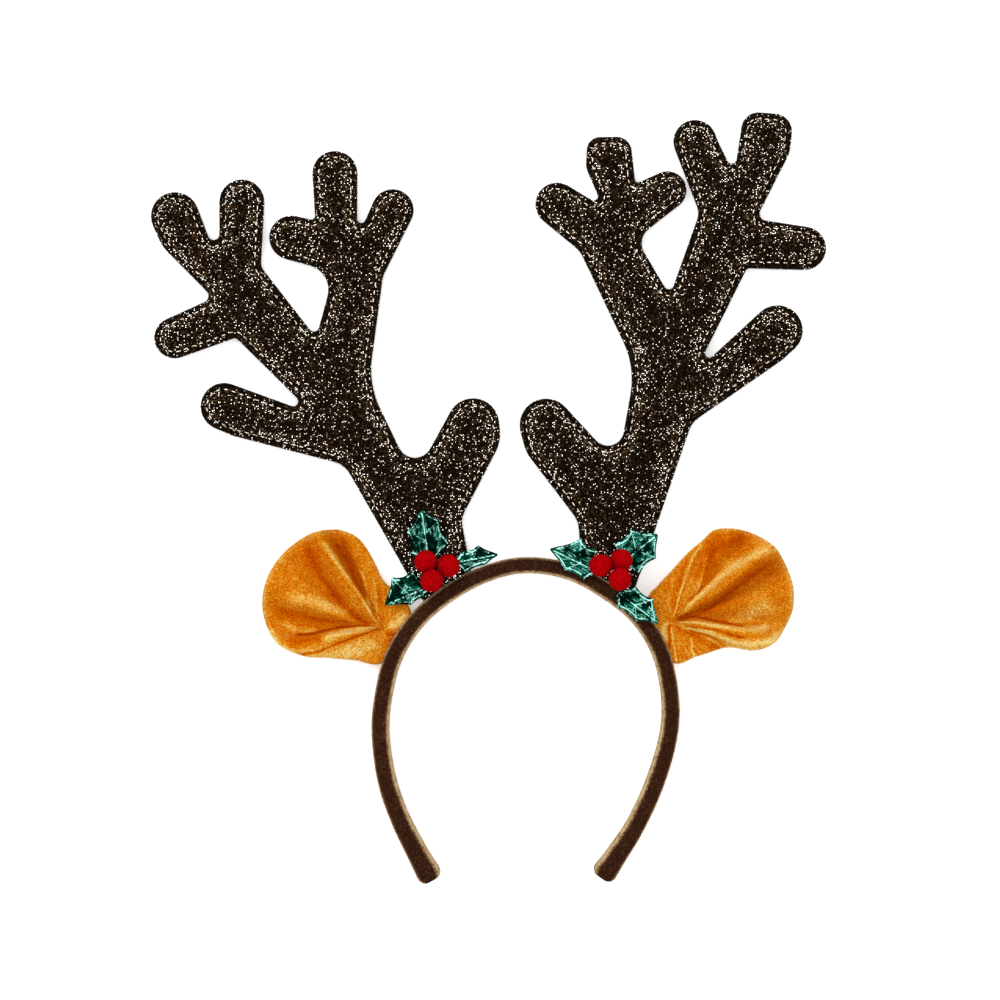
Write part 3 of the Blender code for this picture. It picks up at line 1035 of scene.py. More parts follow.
    def stitches(self, sewing: "Stitching") -> bpy.types.Object:
        """The topstitching along the seam, front and back.

        Args:
            sewing: how it is sewn.

        Returns:
            The stitches in the frame.
        """
        inset = self.border_width - 0.1 * MM
        line = self.belt(inset, 0.8 * MM)
        mid = self.middle(line[:, 1])
        lift = self.half(np.full(len(line), inset)) + 0.05 * MM
        loops = [np.column_stack([line, mid + lift]), np.column_stack([line, mid - lift])]
        made = sewing.sew(f"antler_{self.side}_stitches", loops)
        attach(made, "root")
        return made


class Growth:
    """A Geometry Nodes tree that puts many small solids on an object."""

    def __init__(self, name: str, inputs: dict[str, str]) -> None:
        """Starts the tree.

        Args:
            name: the tree's name.
            inputs: the kind of each input, by its name.
        """
        self.tree = bpy.data.node_groups.new(name, "GeometryNodeTree")
        for title, kind in inputs.items():
            self.tree.interface.new_socket(title, in_out="INPUT", socket_type=f"NodeSocket{kind}")
        self.tree.interface.new_socket("Geometry", in_out="OUTPUT", socket_type="NodeSocketGeometry")
        self.nodes = Nodes(self.tree)
        entry = self.tree.nodes.new("NodeGroupInput")
        self.given = {title: Wire(self.nodes, entry.outputs[title]) for title in inputs}

    def run(self, fixed: Wire, finish: Finish, obj: bpy.types.Object, sizes: dict[str, float]) -> None:
        """Ends the tree, and makes what it grows the object's own plain mesh.

        Args:
            fixed: the small solids in their places.
            finish: their finish.
            obj: the object that they stand on.
            sizes: what the tree's inputs are set to, by name.
        """
        solid = self.nodes.node("GeometryNodeRealizeInstances", None, {"Geometry": fixed})
        values = {"Geometry": solid, "Material": finish.material()}
        dressed = self.nodes.node("GeometryNodeSetMaterial", None, values)
        self.nodes.put(self.tree.nodes.new("NodeGroupOutput").inputs["Geometry"], dressed)
        growth = obj.modifiers.new("growth", "NODES")
        growth.node_group = self.tree
        for item in self.tree.interface.items_tree:
            if item.name in sizes:
                growth[item.identifier] = sizes[item.name]
        bake(obj)


@dataclass
class Stitching:
    """Rows of stitches along closed loops."""

    pitch: float = 0.0037
    length: float = 0.0020
    width: float = 0.00046
    finish: Finish = GOLD_THREAD

    def sew(self, name: str, loops: list[np.ndarray]) -> bpy.types.Object:
        """Stitches at even steps along loops, as a plain mesh.

        Args:
            name: the new piece's name.
            loops: each loop's points.

        Returns:
            The stitches.
        """
        sizes = {"Pitch": self.pitch, "Length": self.length, "Width": self.width}
        growth = Growth("stitches", {"Loops": "Geometry"} | dict.fromkeys(sizes, "Float"))
        nodes, given = growth.nodes, growth.given
        curve = nodes.node("GeometryNodeMeshToCurve", None, {"Mesh": given["Loops"]})
        values = {"Curve": curve, "Length": given["Pitch"]}
        even = nodes.node("GeometryNodeResampleCurve", {"mode": "LENGTH"}, values)
        along = nodes.node("GeometryNodeInputTangent")
        turn = nodes.node("FunctionNodeAlignRotationToVector", {"axis": "X"}, {"Vector": along})
        bead = nodes.node("GeometryNodeMeshIcoSphere", None, {"Radius": 0.5, "Subdivisions": 2})
        size = nodes.vector(given["Length"], given["Width"], given["Width"])
        values = {"Points": even, "Instance": bead, "Rotation": turn, "Scale": size}
        row = nodes.node("GeometryNodeInstanceOnPoints", None, values)
        points, edges = [], []
        for loop in loops:
            first, count = len(points), len(loop)
            points += [tuple(map(float, p)) for p in loop]
            edges += [(first + k, first + (k + 1) % count) for k in range(count)]
        mesh = bpy.data.meshes.new(name)
        mesh.from_pydata(points, edges, [])
        made = bpy.data.objects.new(name, mesh)
        bpy.context.scene.collection.objects.link(made)
        growth.run(row, self.finish, made, sizes)
        made.data.shade_smooth()
        return made


@dataclass
class Fuzz:
    """Short fibres that stand up from a surface."""

    length: float
    radius: float
    density: float
    lean: float = 0.5

    def grow(
        self, name: str, obj: bpy.types.Object, finish: Finish, seed: int, only: str = ""
    ) -> bpy.types.Object:
        """Fibres on a mesh, as a piece of their own.

        Args:
            name: the new piece's name.
            obj: the mesh that they stand on.
            finish: the fibres' finish.
            seed: the seed of their places.
            only: an attribute that thins them out, or "" for all over.

        Returns:
            The fibres.
        """
        inputs = dict.fromkeys(("Length", "Radius", "Density"), "Float")
        growth = Growth("fuzz", {"Geometry": "Geometry"} | inputs | {"Seed": "Int"})
        nodes, given = growth.nodes, growth.given
        amount = given["Density"]
        if only:
            amount = amount * nodes.node("GeometryNodeInputNamedAttribute", None, {"Name": only})
        spread = growth.tree.nodes.new("GeometryNodeDistributePointsOnFaces")
        nodes.put(spread.inputs["Mesh"], given["Geometry"])
        nodes.put(spread.inputs["Density"], amount)
        nodes.put(spread.inputs["Seed"], given["Seed"])
        values = {"Vertices": 3, "Radius Bottom": given["Radius"], "Radius Top": 0.0}
        values["Depth"] = given["Length"]
        cone = nodes.node("GeometryNodeMeshCone", {"fill_type": "NGON"}, values)
        values = {"Min": (-self.lean,) * 3, "Max": (self.lean,) * 3, "Seed": seed}
        lean = nodes.node("FunctionNodeRandomValue", {"data_type": "FLOAT_VECTOR"}, values)
        values = {"Rotation": Wire(nodes, spread.outputs["Rotation"]), "Rotate By": lean}
        turned = nodes.node("FunctionNodeRotateRotation", {"rotation_space": "LOCAL"}, values)
        values = {"Points": Wire(nodes, spread.outputs["Points"]), "Instance": cone, "Rotation": turned}
        fibres = nodes.node("GeometryNodeInstanceOnPoints", None, values)
        pile = bpy.data.objects.new(name, obj.data.copy())
        bpy.context.scene.collection.objects.link(pile)
        sizes = {"Length": self.length, "Radius": self.radius, "Density": self.density, "Seed": seed}
        growth.run(fibres, finish, pile, sizes)
        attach(pile, "root")
        return pile


class FoldKind(Enum):
    """What a fold does to the cloth."""

    RIDGE = "a rounded ridge"
    CREASE = "a sharp valley"


@dataclass(frozen=True)
class Fold:
    """A line over an ear, from turns in degrees and shares of the ear's reach, outwards."""

    kind: FoldKind
    line: tuple
    width: float
    height: float
    # tone: painted highlight on a ridge, painted shade in a crease
    tone: float


@dataclass
class Ear:
    """One velvet ear: a pleated sheet gathered to a pinch beside the band."""

    side: str
    pinch: tuple[float, float]
    table: tuple
    folds: tuple
    reach: float = 0.0566
    depth: float = 0.0160
    wall: float = 0.0024
    edge: float = 0.0014
    pleat_curve: float = 0.8
    pinch_height: float = 0.0060
    around: int = 300
    rings: int = 46

    def build(self, cutter: bpy.types.Object) -> bpy.types.Object:
        """The ear in the frame, cut clear of the band.

        Args:
            cutter: the band's clearance.

        Returns:
            The ear.
        """
        pinch = beside_band(*self.pinch)
        wanted, reach, rise, sweep = self.rim_rows()
        shares = (np.arange(1, self.rings + 1) / self.rings) ** 0.9
        share = shares[:, None]
        angle = np.radians(wanted + sweep * (1 - share))
        far = reach * self.reach * share
        edge = np.maximum(rise * self.depth, self.wall / 2 + GAP)
        middle = self.pinch_height + (edge - self.pinch_height) * share**self.pleat_curve
        x, y = pinch.x + far * np.cos(angle), pinch.y + far * np.sin(angle)
        flat = np.column_stack([x.ravel(), y.ravel()])
        # The folds add painted highlight on ridges and painted shade in creases to the tone
        lift, tone = self.folded(flat, pinch)
        fade = np.clip((1 - share) / 0.06, 0.25, 1) * ramp(share, 0, 0.1) + 0 * x
        heights = middle + lift.reshape(middle.shape) * fade
        heights = np.maximum(heights, self.wall / 2 + GAP)
        # Painted sheen along the outline
        tone += 0.55 * (ramp(share, 0.955, 0.045) + 0 * x).ravel()
        halves = np.full(len(shares), self.wall / 2)
        halves[-1] = self.edge / 4
        halves[-2] = self.edge / 2
        halves[-3] = self.edge / 2 + 0.25 * MM
        thick = halves[:, None] + 0 * x
        top = np.column_stack([flat, (heights + thick).ravel()])
        bottom = np.column_stack([flat, (heights - thick).ravel()])
        points = np.vstack([
            [(pinch.x, pinch.y, self.pinch_height + self.wall / 2)],
            [(pinch.x, pinch.y, self.pinch_height - self.wall / 2)],
            top,
            bottom,
        ])
        made = as_object(f"ear_{self.side}_velvet", points, self.faces(), ORANGE_VELVET)
        # Painted shade at the pinch; the back takes 0.3 of the front's painted light and shade
        carry(made, "tone", np.concatenate([[-0.6, -0.6], tone, tone * 0.3]))
        rim = ramp(share, 0.96, 0.04) + 0 * x
        carry(made, "rim", np.concatenate([[0, 0], rim.ravel(), rim.ravel()]))
        along = far.ravel()
        across = (angle * self.reach / 2).ravel()
        carry(made, "along", np.concatenate([[0, 0], along, along]))
        carry(made, "across", np.concatenate([[0, 0], across, across]))
        gather = bell(along, 0.42 * self.reach) * 0.85 + 0.15
        carry(made, "gather", np.concatenate([[1, 1], gather, gather]))
        cut(made, cutter)
        Fuzz(0.55 * MM, 0.05 * MM, 9.0e6, 0.8).grow(f"ear_{self.side}_nap", made, EAR_NAP, 7, "rim")
        area = sum(p.area for p in made.data.polygons) / 2
        made.data.shade_smooth()
        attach(made, "root")
        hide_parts(f"ear_{self.side}")
        log.info("%s: cloth of %.1f square centimetres", made.name, area * 1e4)
        return made

    def rim_rows(self) -> tuple[np.ndarray, ...]:
        """Even turns round the pinch, with what the table says of each.

        Returns:
            The turns in degrees, and the ear's reach, rise and sweep at each.
        """
        steps = 12
        first = self.table[0][0]
        closed = smooth([row[1:] for row in self.table], steps, True)
        turns = smooth([(row[0],) for row in self.table] + [(first + 360,)], steps)[:-1, 0]
        turns[::steps] = [row[0] for row in self.table]
        wanted = first + 360 * np.arange(self.around) / self.around
        looped = np.append(turns, first + 360)
        columns = [np.interp(wanted, looped, np.append(closed[:, k], closed[0, k])) for k in range(3)]
        return wanted, *columns

    def faces(self) -> list[tuple[int, ...]]:
        """The faces between the pinch's two points, the front's rings and the back's.

        Returns:
            Each face's corners, by number.
        """
        count = self.around
        size = count * self.rings
        faces = []
        for k in range(count):
            j = (k + 1) % count
            faces.append((0, 2 + k, 2 + j))
            faces.append((1, 2 + size + j, 2 + size + k))
            for ring in range(self.rings - 1):
                a, b = 2 + ring * count + k, 2 + ring * count + j
                faces.append((a, a + count, b + count, b))
                faces.append((a + size, b + size, b + count + size, a + count + size))
            a, b = 2 + (self.rings - 1) * count + k, 2 + (self.rings - 1) * count + j
            faces.append((a, a + size, b + size, b))
        return faces

    def folded(self, flat: np.ndarray, pinch: Vector) -> tuple[np.ndarray, np.ndarray]:
        """What all the folds add at each place.

        Args:
            flat: the places, in two columns.
            pinch: where the ear is gathered.

        Returns:
            What they add to the height, and to the tone as painted highlight and shade.
        """
        light, dark = np.zeros(len(flat)), np.zeros(len(flat))
        lift = np.zeros(len(flat))
        for fold in self.folds:
            rise_by, tone_by = self.fold(fold, flat, pinch)
            lift += rise_by
            light = np.maximum(light, tone_by)
            dark = np.minimum(dark, tone_by)
        return lift, light + dark

    def fold(self, fold: Fold, flat: np.ndarray, pinch: Vector) -> tuple[np.ndarray, np.ndarray]:
        """What one fold adds at each place.

        Args:
            fold: the fold.
            flat: the places, in two columns.
            pinch: where the ear is gathered.

        Returns:
            What it adds to the height, and to the tone.
        """
        line = smooth(fold.line, 8) if len(fold.line) > 2 else np.array(fold.line, float)
        turn, far = np.radians(line[:, 0]), line[:, 1] * self.reach
        corners = np.column_stack([pinch.x + far * np.cos(turn), pinch.y + far * np.sin(turn)])
        distance = to_line(flat, corners, False)
        away = np.linalg.norm(flat - np.array(pinch), axis=1) / self.reach
        share = distance / (fold.width * (0.30 + 0.85 * away))
        if fold.kind is FoldKind.CREASE:
            shape = np.exp(-share)
            return -shape * fold.height, -shape * fold.tone
        shape = np.exp(-(share**2))
        return shape * fold.height, shape * fold.tone


@dataclass
class Leaf:
    """One puffed foil leaf with spines."""

    name: str
    root: Vector
    level: float
    turn: float
    lift: float
    length: float
    left: tuple
    right: tuple
    shine: float
    reach: float = 0.0100
    root_reach: float = 0.26
    tip_reach: float = 0.04
    hollow: float = 0.15
    edge: float = 0.0006
    puff: float = 0.0016
    edge_inset: float = 1.2 * MM
    ridge_width: float = 0.32 * MM
    rows: int = 60
    columns: int = 33

    def edge_reach(self, along: np.ndarray, spines: tuple) -> np.ndarray:
        """Distance from the midrib to the edge, which dips between one point and the next.

        Args:
            along: shares along the leaf.
            spines: the points on this side, as share and reach.

        Returns:
            The distance at each.
        """
        corners = np.array([(0.0, self.root_reach), *spines, (1.0, self.tip_reach)])
        line = np.interp(along, corners[:, 0], corners[:, 1])
        place = np.clip(np.searchsorted(corners[:, 0], along) - 1, 0, len(corners) - 2)
        start, end = corners[place, 0], corners[place + 1, 0]
        return self.reach * line * (1 - self.hollow * np.sin(pi * (along - start) / (end - start)))

    def build(self) -> bpy.types.Object:
        """The leaf in the frame.

        Returns:
            The leaf.
        """
        points_on_edge = [spine[0] for spine in (*self.left, *self.right)]
        along = np.unique(np.round(np.append(np.linspace(0, 1, self.rows), points_on_edge), 5))
        flat, steep = self.length * cos(radians(self.lift)), self.length * sin(radians(self.lift))
        ahead = np.array((cos(radians(self.turn)), sin(radians(self.turn))))
        side = np.array((-ahead[1], ahead[0]))
        column = np.linspace(-1, 1, self.columns)[None, :]
        s = along[:, None]
        sides = [self.edge_reach(along, spines)[:, None] for spines in (self.left, self.right)]
        width = np.where(column > 0, *sides)
        off = column * width
        place = np.array(self.root)[None, None] + (s * flat)[..., None] * ahead + off[..., None] * side
        puff = self.edge + (self.puff - self.edge) * (1 - column**2)
        crest, relief = self.relief(s, column, width)
        rise = self.level + s * steep
        top = rise + puff / 2 + relief
        bottom = rise - puff / 2 + 0 * relief
        steps = len(along)
        size = steps * self.columns
        points = np.vstack([
            np.column_stack([place.reshape(-1, 2), top.ravel()]),
            np.column_stack([place.reshape(-1, 2), bottom.ravel()]),
        ])
        made = as_object(f"{self.name}_foil", points, self.faces(steps), GREEN_FOIL)
        carry(made, "crest", np.tile(crest.ravel(), 2))
        carry(made, "along", np.tile((s * self.length + 0 * off).ravel(), 2))
        carry(made, "across", np.tile(off.ravel(), 2))
        carry(made, "leaf", np.full(2 * size, self.turn * MM))
        carry(made, "shine", np.full(2 * size, self.shine))
        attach(made, "root")
        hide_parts(self.name)
        return made

    def faces(self, steps: int) -> list[tuple[int, ...]]:
        """The faces of the front, the back and the edge between them.

        Args:
            steps: how many rows of points the leaf has.

        Returns:
            Each face's corners, by number.
        """
        n = self.columns
        size = steps * n
        faces = []
        for i in range(steps - 1):
            for k in range(n - 1):
                a, b = i * n + k, i * n + k + 1
                faces.append((a, a + n, b + n, b))
                faces.append((size + a, size + b, size + b + n, size + a + n))
            low, high = i * n, (i + 1) * n
            faces.append((low, size + low, size + high, high))
            low, high = low + n - 1, high + n - 1
            faces.append((low, high, size + high, size + low))
        for k in range(n - 1):
            low, high = k, size - n + k
            faces.append((low, low + 1, size + low + 1, size + low))
            faces.append((high, size + high, size + high + 1, high + 1))
        return faces

    def relief(self, s: np.ndarray, column: np.ndarray, width: np.ndarray) -> tuple[np.ndarray, np.ndarray]:
        """Embossing: a raised edge, a raised midrib and veins out to the spines.

        Args:
            s: shares along the leaf.
            column: shares across it, below 0 on the right.
            width: distance from the midrib to the edge.

        Returns:
            How much each place catches the light, and how far it rises.
        """
        off = np.abs(column) * width
        edge = bell(width - off - self.edge_inset, self.ridge_width) * (width > 2 * self.edge_inset)
        rib = bell(off, self.ridge_width) * (s > 0.04) * (s < 0.93)
        veins = 0 * off
        for positive, spines in ((True, self.left), (False, self.right)):
            here = (column > 0) == positive
            for end, _ in spines:
                at = end - 0.22 * (1 - np.abs(column))
                line = bell((s - at) * self.length, self.ridge_width) * here
                veins = np.maximum(veins, line)
        crest = np.clip(edge + rib * 0.9 + veins * 0.8, 0, 1)
        rise = 0.30 * MM * edge + 0.22 * MM * veins + 0.20 * MM * rib
        return crest, rise


@dataclass
class Berry:
    """One felt berry."""

    name: str
    place: Point
    radius: float = 0.0051
    rings: int = 36
    sides: int = 60

    def build(self) -> bpy.types.Object:
        """The berry in the frame: a matted ball with fibres standing off it.

        Returns:
            The berry.
        """
        rings, sides = self.rings, self.sides
        points, faces = [(0, 0, 1.0)], []
        for i in range(1, rings):
            polar = pi * i / rings
            points += [
                (sin(polar) * cos(tau * k / sides), sin(polar) * sin(tau * k / sides), cos(polar))
                for k in range(sides)
            ]
        points.append((0, 0, -1.0))
        last = len(points) - 1
        for k in range(sides):
            j = (k + 1) % sides
            faces.append((0, 1 + k, 1 + j))
            faces.append((last, last - sides + j, last - sides + k))
            for i in range(rings - 2):
                a, b = 1 + i * sides + k, 1 + i * sides + j
                faces.append((a, a + sides, b + sides, b))
        unit = np.array(points)
        x, y, z = unit.T
        shift = sum(self.place) * 1000
        lumps = (
            np.sin(3.1 * x + 2.3 * y + shift) * np.sin(2.7 * y - 3.3 * z + 1.3)
            + 0.5 * np.sin(7.1 * x - 5.3 * z + shift) * np.sin(6.1 * y + 4.7 * x)
            + 0.25 * np.sin(13.1 * z + 11.3 * y) * np.sin(15.1 * x - 9.7 * y + shift)
        )
        ball = unit * (self.radius * (0.985 + 0.016 * lumps))[:, None] + np.array(self.place)
        made = as_object(f"{self.name}_felt", ball, faces, RED_FELT)
        Fuzz(0.45 * MM, 0.05 * MM, 7.0e6, 0.9).grow(f"{self.name}_fibres", made, RED_FELT, 11)
        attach(made, "root")
        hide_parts(self.name)
        return made


@dataclass
class Holly:
    """A cluster of three leaves and three berries on an antler's foot."""

    side: str
    middle: tuple[float, float]
    shine: float
    leaves: tuple
    berries: tuple
    length: float = 0.0200
    radius: float = 0.0051
    puff: float = 0.0016
    levels: tuple = (("padding", 0.0105), ("shoulder", 0.0058))

    def front(self, place: str, antler: Antler) -> float:
        """Height of the front of the band, or of an antler at its foot.

        Args:
            place: what is lain on.
            antler: the antler.

        Returns:
            The height.
        """
        if place == "band":
            return BAND_WIDTH
        deep = dict(self.levels)[place]
        share = min(1.0, (deep - antler.border_width) / (antler.reach - antler.border_width))
        full = antler.border / 2 + (antler.padding - antler.border) / 2 * (1 - (1 - share) ** 2) ** 0.5
        return BAND_WIDTH / 2 + full

    def build(self, antler: Antler) -> list[bpy.types.Object]:
        """The leaves and berries in the frame.

        Args:
            antler: the antler that they lie on.

        Returns:
            The leaves, then the berries.
        """
        centre = beside_band(*self.middle)
        made = []
        for number, (across, up, turn, lift, long, left, right, on) in enumerate(self.leaves, 1):
            root = centre + Vector((across, up)) * self.length
            level = self.front(on, antler) + GAP + self.puff / 2
            name = f"leaf_{self.side}_{number}"
            leaf = Leaf(name, root, level, turn, lift, long * self.length, left, right, self.shine)
            made.append(leaf.build())
        seat = self.front("padding", antler) + self.puff + 2 * GAP
        for number, (across, up, rise) in enumerate(self.berries, 1):
            place = centre + Vector((across, up)) * self.radius
            high = seat + self.radius * (1 + rise)
            made.append(Berry(f"berry_{self.side}_{number}", (place.x, place.y, high), self.radius).build())
        return made


@dataclass
class Studio:
    """A pale table, soft light and a camera that looks straight down."""

    frame_width: float = 0.460
    middle: tuple[float, float] = (-0.01196, 0.0299)
    lens: float = 85.0
    sensor: float = 36.0
    surround: float = 1.05

    def build(self) -> None:
        """Adds the table, the lights and the camera."""
        self.table()
        self.lights()
        self.camera()
        bpy.context.scene.view_settings.view_transform = "Standard"

    def table(self) -> None:
        """The table's top."""
        half, low = 4.0, -0.0001
        corners = [(-half, -half, low), (half, -half, low), (half, half, low), (-half, half, low)]
        as_object("table_top", corners, [(0, 1, 2, 3)], Paper("floor", 0.9, specular=0.1))

    def lights(self) -> None:
        """A pale surround, a wide key light from the upper left and a weaker one from the right."""
        world = bpy.data.worlds.new("studio")
        world.use_nodes = True
        shade = world.node_tree.nodes["Background"]
        shade.inputs["Color"].default_value = (1.0, 1.0, 1.0, 1.0)
        shade.inputs["Strength"].default_value = self.surround
        bpy.context.scene.world = world
        lamps = (
            # name, place, size, power
            ("key", (-0.75, 0.85, 1.15), 1.2, 13.5),
            ("fill", (1.0, -0.3, 1.2), 1.2, 3.5),
        )
        for name, place, size, power in lamps:
            lamp = bpy.data.lights.new(name, "AREA")
            lamp.size = size
            lamp.energy = power
            made = bpy.data.objects.new(name, lamp)
            made.location = place
            made.rotation_euler = (-Vector(place)).to_track_quat("-Z", "Y").to_euler()
            bpy.context.scene.collection.objects.link(made)

    def camera(self) -> None:
        """The photo's framing: straight down, sized at the height of the antlers' middle."""
        lens = bpy.data.cameras.new("camera")
        lens.lens = self.lens
        lens.sensor_width = self.sensor
        lens.clip_start = 0.01
        made = bpy.data.objects.new("camera", lens)
        away = self.frame_width * self.lens / self.sensor
        made.location = (*self.middle, BAND_WIDTH / 2 + away)
        bpy.context.scene.collection.objects.link(made)
        bpy.context.scene.camera = made


LEFT_ANTLER = Antler(
    "left", (-0.562, 0.057), 0.1605, 0.1990,
    (
        # across, up, round
        (-0.050, -0.058, 0.00),
        (-0.334, 0.224, -1.14),
        (-0.572, 0.424, 1.73),
        (-0.632, 0.408, 1.07),
        (-0.434, 0.420, -0.23),
        (-0.602, 0.557, -0.18),
        (-0.774, 0.567, 0.93),
        (-0.696, 0.664, -0.30),
        (-0.709, 0.834, 1.91),
        (-0.774, 0.849, 1.09),
        (-0.663, 0.807, -0.27),
        (-0.582, 0.882, 1.02),
        (-0.491, 0.741, -0.57),
        (-0.375, 0.594, -0.25),
        (-0.405, 0.679, -1.14),
        (-0.440, 0.799, 1.00),
        (-0.383, 0.850, -0.18),
        (-0.315, 0.948, 1.02),
        (-0.239, 0.843, -0.20),
        (-0.149, 0.863, 0.95),
        (-0.116, 0.695, -1.00),
        (0.050, 0.494, -4.14),
        (-0.085, 0.330, -0.80),
        (0.082, 0.367, 1.18),
        (0.050, 0.344, 1.73),
        (0.113, 0.141, -1.00),
        (0.079, 0.012, 0.00),
    ),
)
RIGHT_ANTLER = Antler(
    "right", (0.555, 0.052), 0.1410, 0.2160,
    (
        # across, up, round
        (-0.077, 0.010, 0.00),
        (-0.178, 0.108, -1.23),
        (-0.148, 0.312, 1.75),
        (-0.197, 0.333, 1.20),
        (0.005, 0.323, -0.73),
        (-0.200, 0.431, -3.95),
        (-0.161, 0.666, -1.30),
        (-0.161, 0.804, 0.98),
        (-0.041, 0.821, -0.20),
        (0.002, 0.891, 0.95),
        (-0.020, 0.919, 0.61),
        (0.034, 0.916, 0.68),
        (0.104, 0.858, -0.16),
        (0.200, 0.834, 0.86),
        (0.174, 0.721, -0.82),
        (0.204, 0.633, -0.23),
        (0.239, 0.785, -0.86),
        (0.290, 0.938, 0.98),
        (0.280, 0.919, 1.25),
        (0.410, 0.901, -0.23),
        (0.497, 0.964, 0.77),
        (0.549, 0.960, 0.80),
        (0.507, 0.932, 1.32),
        (0.523, 0.784, -0.32),
        (0.647, 0.710, 0.98),
        (0.467, 0.659, -0.18),
        (0.336, 0.486, -0.20),
        (0.559, 0.535, 1.14),
        (0.510, 0.523, 1.41),
        (0.344, 0.306, -1.09),
        (0.073, -0.052, 0.00),
    ),
)

RIDGE, CREASE = FoldKind.RIDGE, FoldKind.CREASE
LEFT_EAR = Ear(
    "left", (-0.979, 0.205),
    (
        # turn, reach, rise, sweep
        (-96, 0.28, 0.36, 0),
        (-60, 0.20, 0.36, 0),
        (0, 0.20, 0.38, 0),
        (38, 0.27, 0.38, 0),
        (60, 0.29, 0.38, 0),
        (80, 0.34, 0.36, 0),
        (92, 0.41, 0.32, 0),
        (98, 0.54, 0.28, 0),
        (105, 0.753, 0.30, 0),
        (112, 0.863, 0.34, 0),
        (118, 0.92, 0.14, 2),
        (124, 0.962, 0.92, 4),
        (134, 1.005, 0.18, 22),
        (147, 1.033, 0.48, 14),
        (159, 1.027, 0.72, 6),
        (170, 1.005, 0.30, 2),
        (180, 0.945, 0.24, 0),
        (188, 0.845, 0.86, -4),
        (199, 0.655, 0.74, -6),
        (208, 0.483, 0.58, -4),
        (228, 0.335, 0.42, 0),
    ),
    (
        # kind, line as turns and shares of the reach, width, height, tone; tone is painted highlight on a
        # ridge and painted shade in a crease
        Fold(CREASE, ((160, 0.14), (152, 0.31), (144, 0.52), (139, 0.71), (134, 0.87)),
             2.6 * MM, 0.8 * MM, 1.05),
        Fold(RIDGE, ((127, 0.17), (124, 0.32), (124, 0.58), (124, 0.84)), 1.1 * MM, 0.9 * MM, 0.95),
        Fold(CREASE, ((120, 0.32), (119, 0.48), (118, 0.64), (119, 0.78)), 2.7 * MM, 0.7 * MM, 1.1),
        Fold(RIDGE, ((155, 0.34), (157, 0.57), (160, 0.75)), 3.2 * MM, 0.4 * MM, 0.6),
        Fold(CREASE, ((170, 0.30), (172, 0.56), (170, 0.85)), 2.6 * MM, 0.3 * MM, 0.7),
        Fold(CREASE, ((161, 0.08), (171, 0.20), (178, 0.38), (183, 0.58), (183, 0.70)),
             0.7 * MM, 0.7 * MM, 1.7),
        Fold(RIDGE, ((167, 0.08), (179, 0.20), (184, 0.34), (188, 0.47)), 2.6 * MM, 0.7 * MM, 0.9),
        Fold(CREASE, ((179, 0.05), (190, 0.14), (195, 0.29), (197, 0.44), (198, 0.57), (196, 0.71)),
             0.7 * MM, 0.5 * MM, 1.5),
        Fold(RIDGE, ((197, 0.44), (196, 0.60), (193, 0.76), (187, 0.87), (182, 0.92)),
             1.7 * MM, 0.4 * MM, 0.75),
        Fold(RIDGE, ((229, 0.16), (217, 0.26), (209, 0.41), (203, 0.54), (201, 0.62)),
             6.4 * MM, 0.2 * MM, 0.75),
        Fold(CREASE, ((186, 0.48), (187, 0.59), (188, 0.71)), 2.2 * MM, 0.3 * MM, 0.6),
        Fold(RIDGE, ((181, 0.56), (181, 0.70), (177, 0.79)), 1.3 * MM, 0.3 * MM, 0.6),
        Fold(CREASE, ((-50, 0.04), (-32, 0.08), (2, 0.15)), 1.6 * MM, 0.3 * MM, 1.2),
        Fold(RIDGE, ((28, 0.07), (24, 0.12), (36, 0.19)), 4.4 * MM, 0.2 * MM, 0.8),
        Fold(CREASE, ((-45, 0.13), (-60, 0.17), (-74, 0.24)), 4.0 * MM, 0.2 * MM, 2.4),
        Fold(RIDGE, ((133, 0.11), (116, 0.31), (111, 0.50)), 0.9 * MM, 0.2 * MM, 0.6),
        Fold(RIDGE, ((119, 0.07), (103, 0.29), (102, 0.45)), 0.9 * MM, 0.2 * MM, 0.5),
        Fold(CREASE, ((99, 0.06), (97, 0.20), (99, 0.34)), 1.4 * MM, 0.3 * MM, 0.6),
    ),
)
